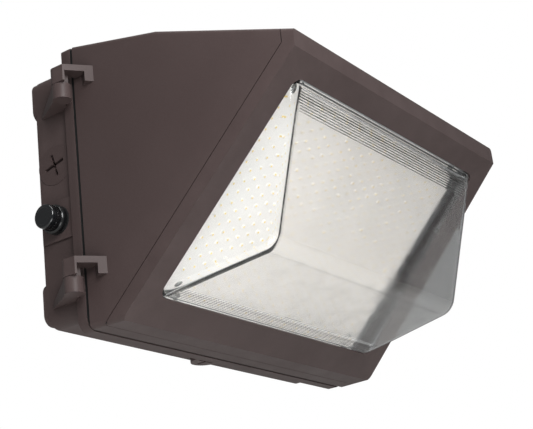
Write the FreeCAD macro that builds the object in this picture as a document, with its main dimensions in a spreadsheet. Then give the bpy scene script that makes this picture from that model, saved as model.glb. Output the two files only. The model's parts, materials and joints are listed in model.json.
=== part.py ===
import FreeCAD, Part
import math
import os
import Sketcher
from FreeCAD import Placement, Rotation, Vector

# Wall pack light: a die-cast back box on the wall, and a deep sloped housing that
# swings on two lift-off hinges at its left side. The housing carries a slanted
# front frame with a clear prismatic drop lens, the LED board and the driver.
#
# Frame: +Z up, +X to the right of someone who faces the light, +Y into the wall.
# The origin is on the wall plane, at the middle of the back box.
# "Reach" is a distance out from the wall, so a reach of r lies at Y = -r.
# Lengths are millimetres and angles are degrees.

DIMENSIONS = {
    # Side view of the body
    "body_width": 360.0,
    "body_height": 235.0,
    "body_reach": 244.5,
    "side_draft": 4.2,
    "chin_reach": 77.1,
    "nose_height": 14.6,
    "nose_drop": 55.9,
    "roof_break_reach": 127.0,
    "roof_break_drop": 15.0,
    "top_edge_radius": 3.0,
    "bottom_edge_radius": 4.0,
    "housing_wall": 3.0,
    # Back box
    "pad_proud": 3.5,
    "pad_size": 34.0,
    "box_reach": 45.0,
    "box_inset_x": 3.0,
    "box_inset_z": 12.0,
    "box_corner": 12.0,
    "box_wall": 3.0,
    "box_floor": 3.5,
    "rim_depth": 8.5,
    "rim_corner": 10.0,
    "rim_top_corner": 3.0,
    "seal_thickness": 3.0,
    "seal_gap": 0.2,
    "seal_width": 5.0,
    "seal_inset": 1.0,
    "pad_inset": 2.5,
    "mount_hole_radius": 3.2,
    "outlet_spacing": 88.9,
    "outlet_hole_radius": 2.6,
    # Front frame and its window
    "frame_skirt": 12.0,
    "nose_skirt": 10.5,
    "frame_wall": 3.0,
    "parting_gap": 0.8,
    "window_top": 19.0,
    "window_bottom": 24.2,
    "window_side": 21.3,
    # Lens
    "lens_gap": 1.0,
    "lens_wall": 3.0,
    "lens_drop": 58.5,
    "lens_ridge_along": 129.7,
    "lens_side_draft": 7.6,
    "lens_ridge_radius": 10.0,
    "lens_side_radius": 8.0,
    "lens_flange_lap": 8.0,
    "lens_flange_thickness": 3.0,
    "lens_seal_thickness": 1.2,
    # Hinges and door screws
    "hinge_inset": 38.0,
    "hinge_offset": 11.0,
    "hinge_reach": 44.5,
    "knuckle_half": 7.5,
    "knuckle_round": 5.0,
    "door_knuckle_height": 13.6,
    "box_knuckle_height": 12.5,
    "box_knuckle_radius": 7.6,
    "hinge_gap": 0.4,
    "hinge_bracket_start": 9.5,
    "hinge_bracket_slope": 10.0,
    "arm_run": 24.0,
    "arm_front": 8.5,
    "arm_rear": 6.5,
    "arm_step": 1.0,
    "arm_notch_height": 8.4,
    "arm_notch_depth": 7.6,
    "arm_notch_deepest": 16.0,
    "arm_notch_start": 0.06,
    "arm_notch_step": 0.22,
    "arm_notch_end": 0.66,
    "pin_radius": 2.5,
    "pin_clearance": 0.06,
    "pin_floor": 2.0,
    "pin_rise": 11.0,
    "ear_width": 14.0,
    "ear_out": 14.0,
    "ear_depth": 10.0,
    "ear_neck": 4.0,
    "ear_floor": 4.0,
    "ear_corner": 6.0,
    "door_screw_radius": 2.5,
    "door_screw_neck_radius": 1.9,
    "door_screw_slack": 0.3,
    "door_screw_play": 0.8,
    "door_screw_head_radius": 4.6,
    "door_screw_head_height": 4.0,
    "door_screw_thread": 8.0,
    "door_screw_bite": 14.0,
    # Entries and photocell
    "entry_reach": 20.0,
    "entry_height": 24.0,
    "entry_radius": 13.5,
    "entry_clearance": 0.1,
    "entry_boss_wall": 4.0,
    "entry_boss_depth": 7.0,
    "plug_length": 10.0,
    "plug_slot_length": 18.0,
    "plug_slot_width": 2.4,
    "plug_slot_depth": 1.6,
    "plug_head_height": 5.0,
    "plug_stem_radius": 10.5,
    "cell_drop": 23.5,
    "cell_reach": 21.2,
    "cell_pad_height": 33.0,
    "cell_pad_proud": 1.5,
    "cell_stem_radius": 7.9,
    "cell_head_radius": 9.8,
    "cell_collar_radius": 11.6,
    "cell_seal_thickness": 1.5,
    "cell_collar_thickness": 5.5,
    "cell_head_thickness": 4.5,
    "cell_cap_thickness": 5.0,
    "cell_nut_thickness": 5.0,
    "cell_stem_past": 3.0,
    "cell_cap_round": 2.0,
    "grommet_radius": 11.2,
    "grommet_bore": 5.0,
    "grommet_lip": 2.0,
    # Light engine behind the window
    "shelf_depth": 18.6,
    "shelf_thickness": 3.5,
    "shelf_lap_x": 1.0,
    "shelf_lap_y": 2.0,
    "carrier_screw_inset": 6.0,
    "carrier_screw_share": 0.7,
    "carrier_thickness": 3.0,
    "carrier_margin_x": 11.0,
    "carrier_margin_y": 7.0,
    "board_thickness": 1.6,
    "board_inset_x": 6.3,
    "board_inset_y": 1.75,
    "board_screw_inset": 15.0,
    "chip_pitch": 9.5,
    "chip_edge": 10.0,
    "chip_length": 3.5,
    "chip_width": 2.8,
    "chip_height": 0.7,
    "boss_radius": 4.0,
    "boss_edge": 7.7,
    "boss_end": 12.0,
    "boss_middle_end": 6.5,
    "small_screw_radius": 2.0,
    "small_head_radius": 3.6,
    "small_head_height": 2.2,
    "screw_tip_gap": 4.0,
    "screw_clearance": 0.15,
    "slot_share": 0.7,
    "slot_half_width": 0.6,
    "clip_thickness": 1.5,
    "clip_hold": 5.5,
    "clip_width": 16.0,
    "clip_spacing": 140.0,
    "clip_side_spacing": 82.0,
    "clip_boss_radius": 3.2,
    "clip_boss_offset": 4.8,
    "driver_length": 190.0,
    "driver_width": 62.0,
    "driver_height": 32.0,
    "driver_wall": 1.5,
    "driver_foot": 14.0,
    "terminal_length": 62.0,
    "terminal_height": 20.0,
    "terminal_depth": 17.0,
    "terminal_poles": 3.0,
    "terminal_foot_inset": 5.0,
    "terminal_pitch": 14.0,
    "terminal_x": 70.0,
    "terminal_drop": 45.0,
    "terminal_wire_radius": 2.4,
    "ground_x": 70.0,
    "ground_drop": 45.0,
}

# How far a cut starts before, and ends past, the wall that it opens.
PAST = 1.0
# Width of a cut that ends in the open air.
OPEN = 60.0
# Two places closer than this are one.
TINY = 0.02

doc = FreeCAD.newDocument("wall_pack_light")
sheet = doc.addObject("Spreadsheet::Sheet", "dims")
for row, (alias, number) in enumerate(DIMENSIONS.items(), 1):
    sheet.set(f"A{row}", alias.replace("_", " "))
    sheet.set(f"B{row}", str(number))
    sheet.setAlias(f"B{row}", alias)
doc.recompute()


class Size:
    """A length or angle: its present number, and the sheet expression that gives it."""

    def __init__(self, value, text):
        self.value = float(value)
        self.text = text

    def __add__(self, other):
        other = as_size(other)
        return Size(self.value + other.value, f"({self.text} + {other.text})")

    def __sub__(self, other):
        other = as_size(other)
        return Size(self.value - other.value, f"({self.text} - {other.text})")

    def __mul__(self, other):
        other = as_size(other)
        return Size(self.value * other.value, f"({self.text} * {other.text})")

    def __truediv__(self, other):
        other = as_size(other)
        return Size(self.value / other.value, f"({self.text} / {other.text})")

    def __neg__(self):
        return Size(-self.value, f"(0 - {self.text})")

    def __rsub__(self, other):
        return as_size(other) - self

    def __rtruediv__(self, other):
        return as_size(other) / self

    __radd__ = __add__
    __rmul__ = __mul__


def as_size(number):
    """Let a bare number stand where a Size is expected."""
    if isinstance(number, Size):
        return number
    return Size(number, repr(float(number)))


def of(alias):
    """The Size held under an alias of the sheet."""
    return Size(sheet.get(alias), f"dims.{alias}")


def tangent(angle):
    return Size(math.tan(math.radians(angle.value)), f"tan({angle.text} * 1 deg)")


def root(number):
    return Size(math.sqrt(number.value), f"sqrt({number.text})")


def angle_of(slope):
    """The angle of a slope, in degrees."""
    return Size(math.degrees(math.atan(slope.value)), f"atan({slope.text})")


# ---------------------------------------------------------------- construction

def new_body(label, tilted=False):
    """A body in the world frame, or in the frame of the slanted face (see tilt)."""
    body = doc.addObject("PartDesign::Body", label)
    body.Label = label
    body.AllowCompound = True
    if tilted:
        tilt(body)
    return body


def origin_plane(body, role):
    return next(item for item in body.Origin.OriginFeatures if item.Role == role)


def new_sketch(body, plane, offset=0.0):
    """A sketch on one of the body's own origin planes, moved along the plane's normal."""
    sketch = body.newObject("Sketcher::SketchObject", "Sketch")
    sketch.AttachmentSupport = [(origin_plane(body, plane), "")]
    sketch.MapMode = "FlatFace"
    sketch.setExpression("AttachmentOffset.Base.z", as_size(offset).text)
    return sketch


def pin_point(sketch, geometry, point, place):
    """Bind a point of the sketch to its two coordinates."""
    for kind, size in zip(("DistanceX", "DistanceY"), place):
        size = as_size(size)
        index = sketch.addConstraint(Sketcher.Constraint(kind, -1, 1, geometry, point, size.value))
        name = f"{kind}{geometry}"
        sketch.renameConstraint(index, name)
        sketch.setExpression(f"Constraints.{name}", size.text)


def add_polygon(sketch, corners):
    first = sketch.GeometryCount
    points = [Vector(as_size(x).value, as_size(y).value, 0) for x, y in corners]
    count = len(points)
    for index in range(count):
        line = Part.LineSegment(points[index], points[(index + 1) % count])
        sketch.addGeometry(line, False)
    for index in range(count):
        follower = first + (index + 1) % count
        sketch.addConstraint(Sketcher.Constraint("Coincident", first + index, 2, follower, 1))
    for index, corner in enumerate(corners):
        pin_point(sketch, first + index, 1, corner)


def add_rectangle(sketch, half_x, half_y, centre=(0.0, 0.0)):
    x, y = centre
    add_polygon(sketch, [(x - half_x, y - half_y), (x + half_x, y - half_y),
                         (x + half_x, y + half_y), (x - half_x, y + half_y)])


def add_circle(sketch, centre, radius):
    x, y = as_size(centre[0]), as_size(centre[1])
    radius = as_size(radius)
    middle = Vector(x.value, y.value, 0)
    geometry = sketch.addGeometry(Part.Circle(middle, Vector(0, 0, 1), radius.value), False)
    pin_point(sketch, geometry, 3, (x, y))
    index = sketch.addConstraint(Sketcher.Constraint("Radius", geometry, radius.value))
    sketch.renameConstraint(index, f"Radius{geometry}")
    sketch.setExpression(f"Constraints.Radius{geometry}", radius.text)


def polygon_sketch(body, plane, corners, offset=0.0):
    sketch = new_sketch(body, plane, offset)
    add_polygon(sketch, corners)
    return sketch


def rectangle_sketch(body, plane, half_x, half_y, offset=0.0, centre=(0.0, 0.0)):
    sketch = new_sketch(body, plane, offset)
    add_rectangle(sketch, half_x, half_y, centre)
    return sketch


def circles_sketch(body, plane, centres, radius, offset=0.0):
    sketch = new_sketch(body, plane, offset)
    for centre in centres:
        add_circle(sketch, centre, radius)
    return sketch


def extrude(body, kind, sketch, length, both_ways=False, backwards=False):
    feature = body.newObject(f"PartDesign::{kind}", kind)
    feature.Profile = sketch
    feature.setExpression("Length", as_size(length).text)
    feature.Reversed = backwards
    if both_ways:
        feature.SideType = "Symmetric"
    doc.recompute()
    return feature


def pad(body, sketch, length, both_ways=False, backwards=False):
    """Raise a sketch along its plane's normal."""
    return extrude(body, "Pad", sketch, length, both_ways, backwards)


def pocket(body, sketch, depth, both_ways=False, backwards=False):
    """Sink a sketch against its plane's normal, and make sure that it took material."""
    before = body.Shape.Volume
    feature = extrude(body, "Pocket", sketch, depth, both_ways, backwards)
    if body.Shape.Volume >= before:
        raise RuntimeError(f"a pocket in {body.Label} cuts nothing")
    return feature


def fillet(body, radius, wanted):
    """Round the edges of the body's last feature that a test picks."""
    base = body.Tip
    names = [f"Edge{i}" for i, edge in enumerate(base.Shape.Edges, 1) if wanted(edge)]
    feature = body.newObject("PartDesign::Fillet", "Fillet")
    feature.Base = (base, names)
    feature.setExpression("Radius", as_size(radius).text)
    doc.recompute()
    return feature


def runs_along(axis, above=None, below=None):
    """A test for straight edges along an axis (0, 1, 2), within limits on that axis."""
    def test(edge):
        ends = [vertex.Point for vertex in edge.Vertexes]
        if len(ends) != 2:
            return False
        step = ends[1] - ends[0]
        if step.Length < TINY or abs(abs(step[axis]) - step.Length) > TINY:
            return False
        middle = (ends[0][axis] + ends[1][axis]) / 2
        return (above is None or middle > above) and (below is None or middle < below)
    return test


def boolean(kind, label, base, tool):
    result = doc.addObject(f"Part::{kind}", label)
    result.Label = label
    result.Base = base
    result.Tool = tool
    doc.recompute()
    return result


def cut(label, base, *tools):
    """Take every tool from the base."""
    for number, tool in enumerate(tools, 1):
        last = number == len(tools)
        base = boolean("Cut", label if last else f"{label}_cut_{number}", base, tool)
    return base


def fuse(label, *pieces):
    result = doc.addObject("Part::MultiFuse", label)
    result.Label = label
    result.Shapes = list(pieces)
    doc.recompute()
    return result


def rods(label, plane, centres, radius, start, length, tilted=False):
    """A body of equal round rods that stand on one plane."""
    body = new_body(label, tilted)
    pad(body, circles_sketch(body, plane, centres, radius, start), length)
    return body


def block(label, plane, half_x, half_y, start, length, centre=(0.0, 0.0), tilted=False):
    """A body that is one rectangular block."""
    body = new_body(label, tilted)
    pad(body, rectangle_sketch(body, plane, half_x, half_y, start, centre), length)
    return body


# ---------------------------------------------------------------- shared lines

half_height = of("body_height") / 2
housing_rear = of("box_reach") + of("seal_thickness")
nose_foot = half_height - of("nose_drop") - of("nose_height")
face_rise = of("body_height") - of("nose_drop") - of("nose_height")
face_run = of("body_reach") - of("chin_reach")
face_length = root(face_rise * face_rise + face_run * face_run)
face_slope = face_rise / face_run
face_cosine = face_run / face_length
face_sine = face_rise / face_length
roof_slope = (of("nose_drop") - of("roof_break_drop")) / (of("body_reach") - of("roof_break_reach"))
draft_slope = tangent(of("side_draft"))


def half_width(reach):
    """Half of the body's width where its drafted sides have this reach."""
    return of("body_width") / 2 - (reach - housing_rear) * draft_slope


def face_height(reach, behind):
    """Height of the line that runs behind the slanted face at this distance."""
    return nose_foot - (of("body_reach") - reach) * face_slope + behind / face_cosine


def reach_on_face(height, behind):
    """Reach of the line behind the slanted face at this height."""
    return of("body_reach") - (nose_foot + behind / face_cosine - height) / face_slope


def roof_height(reach, below=0.0):
    """Height of the front slope of the roof, lowered by a wall measured square to it."""
    drop = below * root(1.0 + roof_slope * roof_slope)
    return half_height - of("roof_break_drop") - (reach - of("roof_break_reach")) * roof_slope - drop


def roof_meets_face(behind, below=0.0):
    """Reach where the line behind the face meets the front slope of the roof."""
    top = roof_height(of("roof_break_reach"), below) + of("roof_break_reach") * roof_slope
    line = nose_foot - of("body_reach") * face_slope + behind / face_cosine
    return (top - line) / (face_slope + roof_slope)


def side_profile(points):
    """Turn (reach, height) pairs into coordinates of a sketch on the YZ plane."""
    return [(-as_size(reach), height) for reach, height in points]


# The slanted face has a frame of its own: X to the right, Y up along the face, Z out
# of it. Its origin is the middle of the window, on the outer face. "Along" is the
# distance down the face from its top crease.

window_foot = face_length - of("window_bottom")
window_middle = (of("window_top") + window_foot) / 2
window_half = (window_foot - of("window_top")) / 2


def tilt(piece):
    """Place a body in the frame of the slanted face."""
    piece.Placement = Placement(Vector(0, 0, 0), Rotation(Vector(1, 0, 0), 90))
    middle_reach = of("body_reach") - window_middle * face_cosine
    middle_height = nose_foot - window_middle * face_sine
    piece.setExpression("Placement.Base.y", (-middle_reach).text)
    piece.setExpression("Placement.Base.z", middle_height.text)
    piece.setExpression("Placement.Rotation.Angle", f"180 deg - {angle_of(face_slope).text}")


def up_face(along):
    """Coordinate up the face of a place given by its distance along it."""
    return window_middle - along


def face_half_width(along):
    """Half of the face's width at a distance along it."""
    return half_width(of("body_reach") - along * face_cosine)


def face_trapezoid(margin_side, top, foot):
    """Corners of a trapezoid that keeps a margin from the drafted sides of the face."""
    wide_top = face_half_width(top) - margin_side
    wide_foot = face_half_width(foot) - margin_side
    return [(-wide_foot, up_face(foot)), (wide_foot, up_face(foot)),
            (wide_top, up_face(top)), (-wide_top, up_face(top))]


# ---------------------------------------------------------------- drafted shells

def trim_sides(body, inset, rear, front):
    """Cut both sides of a body to the drafted side planes, less an inset."""
    for side in (-1.0, 1.0):
        corners = [(side * (half_width(rear) - inset), -rear),
                   (side * (half_width(front) - inset), -front),
                   (side * (half_width(rear) + OPEN), -front),
                   (side * (half_width(rear) + OPEN), -rear)]
        pocket(body, polygon_sketch(body, "XY_Plane", corners), of("body_height") * 2, both_ways=True)


def drafted_body(label, points, inset=0.0):
    """A body with the given side profile between the drafted side planes."""
    body = new_body(label)
    sketch = polygon_sketch(body, "YZ_Plane", side_profile(points))
    pad(body, sketch, of("body_width") + OPEN / 2, both_ways=True)
    trim_sides(body, as_size(inset), housing_rear - OPEN, of("body_reach") + OPEN / 2)
    return body


def round_long_corners(body):
    """Round the edges where the drafted sides meet the bottom and the roof."""
    fillet(body, of("bottom_edge_radius"),
           lambda edge: on_drafted_side(edge) and abs(edge.CenterOfMass.z + half_height.value) < TINY)
    fillet(body, of("top_edge_radius"), on_roof_corner)


def on_drafted_side(edge):
    middle = edge.valueAt((edge.FirstParameter + edge.LastParameter) / 2)
    return abs(abs(middle.x) - half_width(as_size(-middle.y)).value) < TINY


def on_roof_corner(edge):
    """True for the edges where a drafted side meets the roof."""
    if not on_drafted_side(edge):
        return False
    middle = edge.valueAt((edge.FirstParameter + edge.LastParameter) / 2)
    reach = as_size(-middle.y)
    behind_break = reach.value < of("roof_break_reach").value
    roof = rear_roof_height(reach) if behind_break else roof_height(reach)
    return abs(middle.z - roof.value) < TINY


# ---------------------------------------------------------------- back box

small_screw_pass = of("small_screw_radius") + of("screw_clearance")
box_back = of("pad_proud")
box_inside = box_back + of("box_floor")
rim_back = of("box_reach") - of("rim_depth")
box_half_width = of("body_width") / 2 - of("box_inset_x")
box_half_height = half_height - of("box_inset_z")
hinge_height = half_height - of("hinge_inset")
mount_x = box_half_width - of("pad_size") / 2
mount_z = box_half_height - of("pad_size") / 2 - of("pad_inset")
mount_places = [(x * mount_x, z * mount_z) for x in (-1.0, 1.0) for z in (-1.0, 1.0)]
ear_middle = of("body_width") / 2 + of("ear_out") / 2
pin_depth = of("box_knuckle_height") - of("pin_floor")
terminal_place = (of("terminal_x"), -of("terminal_drop"))
terminal_foot = of("terminal_length") / 2 - of("terminal_foot_inset")
terminal_feet = [(of("terminal_x") + side * terminal_foot, -of("terminal_drop")) for side in (-1.0, 1.0)]
ground_place = (-of("ground_x"), -of("ground_drop"))
door_screw_x = of("body_width") / 2 + of("ear_out") - of("ear_width") / 2
hinge_x = -(of("body_width") / 2 + of("hinge_offset"))
hinge_y = -of("hinge_reach")


def drill(body, plane, places, radius, front, depth):
    """Round holes through a wall that has its front at this height over the plane."""
    pocket(body, circles_sketch(body, plane, places, radius, front + PAST), depth + 2 * PAST)


def round_corners(body, bottom_radius, top_radius):
    """Round the four corners of an upright plate, the top two by a radius of their own."""
    fillet(body, bottom_radius, lambda edge: runs_along(1)(edge) and edge.CenterOfMass.z < 0)
    fillet(body, top_radius, lambda edge: runs_along(1)(edge) and edge.CenterOfMass.z > 0)


def make_box_shell():
    body = new_body("box_shell")
    pad(body, rectangle_sketch(body, "XZ_Plane", box_half_width, box_half_height, box_back),
        rim_back - box_back)
    fillet(body, of("box_corner"), runs_along(1))
    rim = new_body("box_rim")
    pad(rim, rectangle_sketch(rim, "XZ_Plane", of("body_width") / 2, half_height, rim_back),
        of("rim_depth"))
    round_corners(rim, of("rim_corner"), of("rim_top_corner"))
    pads = new_body("box_pads")
    sketch = new_sketch(pads, "XZ_Plane", 0.0)
    for place in mount_places:
        add_rectangle(sketch, of("pad_size") / 2, of("pad_size") / 2, place)
    pad(pads, sketch, of("pad_proud"))
    fillet(pads, of("box_corner") * 2 / 3, runs_along(1))
    return fuse("box_blank", body, rim, pads)


def make_box_cavity():
    body = new_body("box_cavity")
    inner = (box_half_width - of("box_wall"), box_half_height - of("box_wall"))
    pad(body, rectangle_sketch(body, "XZ_Plane", *inner, box_inside), of("box_reach") - box_inside + PAST)
    fillet(body, of("box_corner") - of("box_wall"), runs_along(1))
    return body


def side_rods(label, side, radius, start, length, place):
    """A rod along X at a (reach, height) place, measured outwards on one side."""
    reach, height = place
    body = new_body(label)
    offset = start if side > 0 else -start
    sketch = circles_sketch(body, "YZ_Plane", [(-reach, height)], radius, offset)
    pad(body, sketch, length, backwards=side < 0)
    return body


entry_place = (of("entry_reach"), of("entry_height"))
cell_place = (of("cell_reach"), -of("cell_drop"))
boss_inner = box_half_width - of("box_wall") - of("entry_boss_depth")


def make_entry_bosses():
    """Rings inside the walls that give the threaded entries their length."""
    radius = of("entry_radius") + of("entry_boss_wall")
    depth = of("entry_boss_depth") + of("box_wall") / 2
    left = side_rods("entry_boss_left", -1, radius, boss_inner, depth, entry_place)
    right = side_rods("entry_boss_right", 1, radius, boss_inner, depth, entry_place)
    bottom = rods("entry_boss_bottom", "XY_Plane", [(0.0, -of("entry_reach"))],
                  of("plug_stem_radius") + of("entry_boss_wall"),
                  -(box_half_height - of("box_wall") / 2), depth)
    return [left, right, bottom]


def make_cell_pad():
    """The flat seat that the photocell stands on, on the left side."""
    body = new_body("cell_pad")
    rear = of("cell_reach") - of("cell_pad_height") / 2
    front = rim_back
    corners = [(-rear, -of("cell_drop") - of("cell_pad_height") / 2),
               (-front, -of("cell_drop") - of("cell_pad_height") / 2),
               (-front, -of("cell_drop") + of("cell_pad_height") / 2),
               (-rear, -of("cell_drop") + of("cell_pad_height") / 2)]
    start = -(box_half_width - of("box_wall") / 2)
    pad(body, polygon_sketch(body, "YZ_Plane", corners, start),
        of("box_wall") / 2 + of("cell_pad_proud"), backwards=True)
    return body


def make_box_hinge(split):
    """The lower half of a hinge: a round knuckle on a bracket that runs back along the box."""
    name = "upper" if split.value > 0 else "lower"
    low = split - of("box_knuckle_height")
    knuckle = rods(f"box_knuckle_{name}", "XY_Plane", [(hinge_x, hinge_y)],
                   of("box_knuckle_radius"), low, of("box_knuckle_height"))
    bracket = new_body(f"box_bracket_{name}")
    wall_x = -(box_half_width - of("box_wall") / 2)
    tail = -of("hinge_bracket_start")
    corners = [(hinge_x - of("box_knuckle_radius"), hinge_y), (wall_x - of("box_wall") / 2, tail),
               (wall_x, tail), (wall_x, hinge_y + of("box_knuckle_radius")), (hinge_x, hinge_y)]
    pad(bracket, polygon_sketch(bracket, "XY_Plane", corners, low), of("box_knuckle_height"))
    slope_start = hinge_y + of("box_knuckle_radius")
    slope = [(slope_start, split), (tail + PAST, split - of("hinge_bracket_slope")),
             (tail + PAST, split + PAST), (slope_start, split + PAST)]
    pocket(bracket, polygon_sketch(bracket, "YZ_Plane", slope), of("body_width") * 2, both_ways=True)
    return fuse(f"box_hinge_{name}", knuckle, bracket)


def make_box_ear(height):
    """The lug on the right side that a door screw goes into."""
    name = "upper" if height.value > 0 else "lower"
    body = new_body(f"box_ear_{name}")
    inner = box_half_width - of("box_wall") / 2
    outer = of("body_width") / 2 + of("ear_out")
    middle = (inner + outer) / 2
    depth = of("door_screw_bite") + of("ear_floor")
    pad(body, rectangle_sketch(body, "XZ_Plane", (outer - inner) / 2, of("ear_width") / 2,
                               of("box_reach") - depth, (middle, height)), depth)
    fillet(body, of("ear_corner"),
           lambda edge: runs_along(1)(edge) and edge.CenterOfMass.x > ear_middle.value)
    return body


def make_back_box():
    blank = make_box_shell()
    hollow = cut("box_hollow", blank, make_box_cavity())
    splits = (hinge_height, -hinge_height)
    added = make_entry_bosses() + [make_cell_pad()]
    added += [make_box_hinge(split) for split in splits]
    added += [make_box_ear(height) for height in splits]
    solid = fuse("box_solid", hollow, *added)
    through = of("entry_boss_depth") + of("box_wall") + 4 * PAST
    holes = [
        rods("mount_holes", "XZ_Plane", mount_places, of("mount_hole_radius"), -PAST, box_inside + 2 * PAST),
        rods("outlet_holes", "XZ_Plane", [(-of("outlet_spacing") / 2, 0.0), (of("outlet_spacing") / 2, 0.0)],
             of("outlet_hole_radius"), box_back - PAST, of("box_floor") + 2 * PAST),
        rods("wire_hole", "XZ_Plane", [(0.0, 0.0)], of("grommet_radius"), box_back - PAST,
             of("box_floor") + 2 * PAST),
        side_rods("entry_hole_left", -1, of("entry_radius"), boss_inner - PAST, through, entry_place),
        side_rods("entry_hole_right", 1, of("entry_radius"), boss_inner - PAST, through, entry_place),
        rods("entry_hole_bottom", "XY_Plane", [(0.0, -of("entry_reach"))], of("plug_stem_radius"),
             -(box_half_height + 2 * PAST), through),
        side_rods("cell_hole", -1, of("cell_stem_radius"), box_half_width - 2 * of("box_wall"),
                  3 * of("box_wall"), cell_place),
        rods("ear_holes", "XZ_Plane", [(door_screw_x, split) for split in splits],
             of("door_screw_radius") + of("door_screw_play"),
             of("box_reach") - of("door_screw_bite") - PAST, of("door_screw_bite") + 2 * PAST),
        rods("ground_hole", "XZ_Plane", [ground_place], of("small_screw_radius"), box_back - PAST,
             of("box_floor") + 2 * PAST),
        rods("terminal_holes", "XZ_Plane", terminal_feet, of("small_screw_radius"), box_back - PAST,
             of("box_floor") + 2 * PAST),
    ]
    for split in splits:
        name = "upper" if split.value > 0 else "lower"
        holes.append(rods(f"pin_hole_{name}", "XY_Plane", [(hinge_x, hinge_y)], of("pin_radius"),
                          split - pin_depth, pin_depth + PAST))
    return cut("back_box", solid, *holes)


def make_box_gasket():
    half_x = of("body_width") / 2 - of("seal_inset")
    half_z = half_height - of("seal_inset")
    thickness = of("seal_thickness") - of("seal_gap")
    outer = block("seal_outer", "XZ_Plane", half_x, half_z, of("box_reach"), thickness)
    round_corners(outer, of("rim_corner") - of("seal_inset"), of("rim_top_corner") - of("seal_inset"))
    inner = block("seal_inner", "XZ_Plane", half_x - of("seal_width"), half_z - of("seal_width"),
                  of("box_reach") - PAST, of("seal_thickness") + 2 * PAST)
    round_corners(inner, of("rim_corner") / 2, of("rim_top_corner") / 2)
    return cut("box_gasket", outer, inner)


def cut_cross(body, plane, place, offset, backwards):
    """The crossed slots that a plug is turned by."""
    half_long = of("plug_slot_length") / 2
    half_wide = of("plug_slot_width") / 2
    for halves in ((half_long, half_wide), (half_wide, half_long)):
        sketch = rectangle_sketch(body, plane, *halves, offset, place)
        pocket(body, sketch, of("plug_slot_depth"), backwards=backwards)


def make_side_plug(label, side):
    reach, height = entry_place
    body = side_rods(label, side, of("entry_radius") - of("entry_clearance"),
                     box_half_width - of("plug_length"), of("plug_length"), entry_place)
    cut_cross(body, "YZ_Plane", (-reach, height), box_half_width * side, side < 0)
    return body


def make_bottom_plug():
    place = (0.0, -of("entry_reach"))
    head_low = -(box_half_height + of("plug_head_height"))
    body = rods("plug_bottom", "XY_Plane", [place], of("entry_radius"), head_low, of("plug_head_height"))
    stem = circles_sketch(body, "XY_Plane", [place], of("plug_stem_radius") - of("entry_clearance"), head_low)
    pad(body, stem, of("plug_head_height") + of("plug_length"))
    cut_cross(body, "XY_Plane", place, head_low, True)
    return body


def make_grommet():
    centre = [(0.0, 0.0)]
    lip = of("grommet_lip")
    body = rods("rear_grommet", "XZ_Plane", centre, of("grommet_radius") + lip, box_back - lip, lip)
    pad(body, circles_sketch(body, "XZ_Plane", centre, of("grommet_radius"), box_back), of("box_floor"))
    pad(body, circles_sketch(body, "XZ_Plane", centre, of("grommet_radius") + lip, box_inside), lip)
    bore = circles_sketch(body, "XZ_Plane", centre, of("grommet_bore"), box_inside + lip + PAST)
    pocket(body, bore, of("box_floor") + 2 * lip + 2 * PAST)
    return body


cell_seat = box_half_width + of("cell_pad_proud")
cell_collar_start = cell_seat + of("cell_seal_thickness")
cell_head_start = cell_collar_start + of("cell_collar_thickness")
cell_cap_start = cell_head_start + of("cell_head_thickness")
cell_nut_start = box_half_width - of("box_wall") - of("cell_nut_thickness")


def make_photocell():
    stem_radius = of("cell_stem_radius") - of("screw_clearance")
    reach, height = cell_place
    stem_start = cell_nut_start - of("cell_stem_past")
    body = side_rods("photocell_body", -1, stem_radius, stem_start, cell_cap_start - stem_start, cell_place)
    head = circles_sketch(body, "YZ_Plane", [(-reach, height)], of("cell_head_radius"), -cell_head_start)
    pad(body, head, of("cell_head_thickness"), backwards=True)
    cap = side_rods("photocell_cap", -1, of("cell_head_radius"), cell_cap_start,
                    of("cell_cap_thickness"), cell_place)
    fillet(cap, of("cell_cap_round"),
           lambda edge: edge.CenterOfMass.x < -(cell_cap_start.value + of("cell_cap_thickness").value / 2))
    rings = []
    for label, start, thickness in (
            ("photocell_seal", cell_seat, of("cell_seal_thickness")),
            ("photocell_collar", cell_collar_start, of("cell_collar_thickness"))):
        ring = side_rods(label, -1, of("cell_collar_radius"), start, thickness, cell_place)
        bore = circles_sketch(ring, "YZ_Plane", [(-reach, height)], stem_radius, -(start - PAST))
        pocket(ring, bore, thickness + 2 * PAST)
        rings.append(ring)
    nut = new_body("photocell_nut")
    corners = [(-reach + of("cell_collar_radius") * math.cos(math.radians(60 * step)),
                height + of("cell_collar_radius") * math.sin(math.radians(60 * step)))
               for step in range(6)]
    pad(nut, polygon_sketch(nut, "YZ_Plane", corners, -cell_nut_start), of("cell_nut_thickness"),
        backwards=True)
    bore = circles_sketch(nut, "YZ_Plane", [(-reach, height)], stem_radius, -(cell_nut_start - PAST))
    pocket(nut, bore, of("cell_nut_thickness") + 2 * PAST)
    return [body, cap, nut] + rings


def make_hinge_pin(label, split):
    return rods(label, "XY_Plane", [(hinge_x, hinge_y)], of("pin_radius"), split - pin_depth,
                pin_depth + of("hinge_gap") + of("pin_rise"))


def make_screws(label, plane, places, seat, bite, tilted=False, flip=False):
    """Pan-head screws whose heads stand on a seat. Flipped ones point along the normal."""
    head = of("small_head_height")
    body = new_body(label, tilted)
    shank_foot, head_foot, top = seat - bite, seat, seat + head
    if flip:
        shank_foot, head_foot, top = seat, seat - head, seat - head
    pad(body, circles_sketch(body, plane, places, of("small_screw_radius"), shank_foot), bite)
    pad(body, circles_sketch(body, plane, places, of("small_head_radius"), head_foot), head)
    slots = new_sketch(body, plane, top)
    for place in places:
        add_rectangle(slots, of("small_head_radius") * of("slot_share"), of("slot_half_width"), place)
    pocket(body, slots, head / 2, backwards=flip)
    return body


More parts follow.
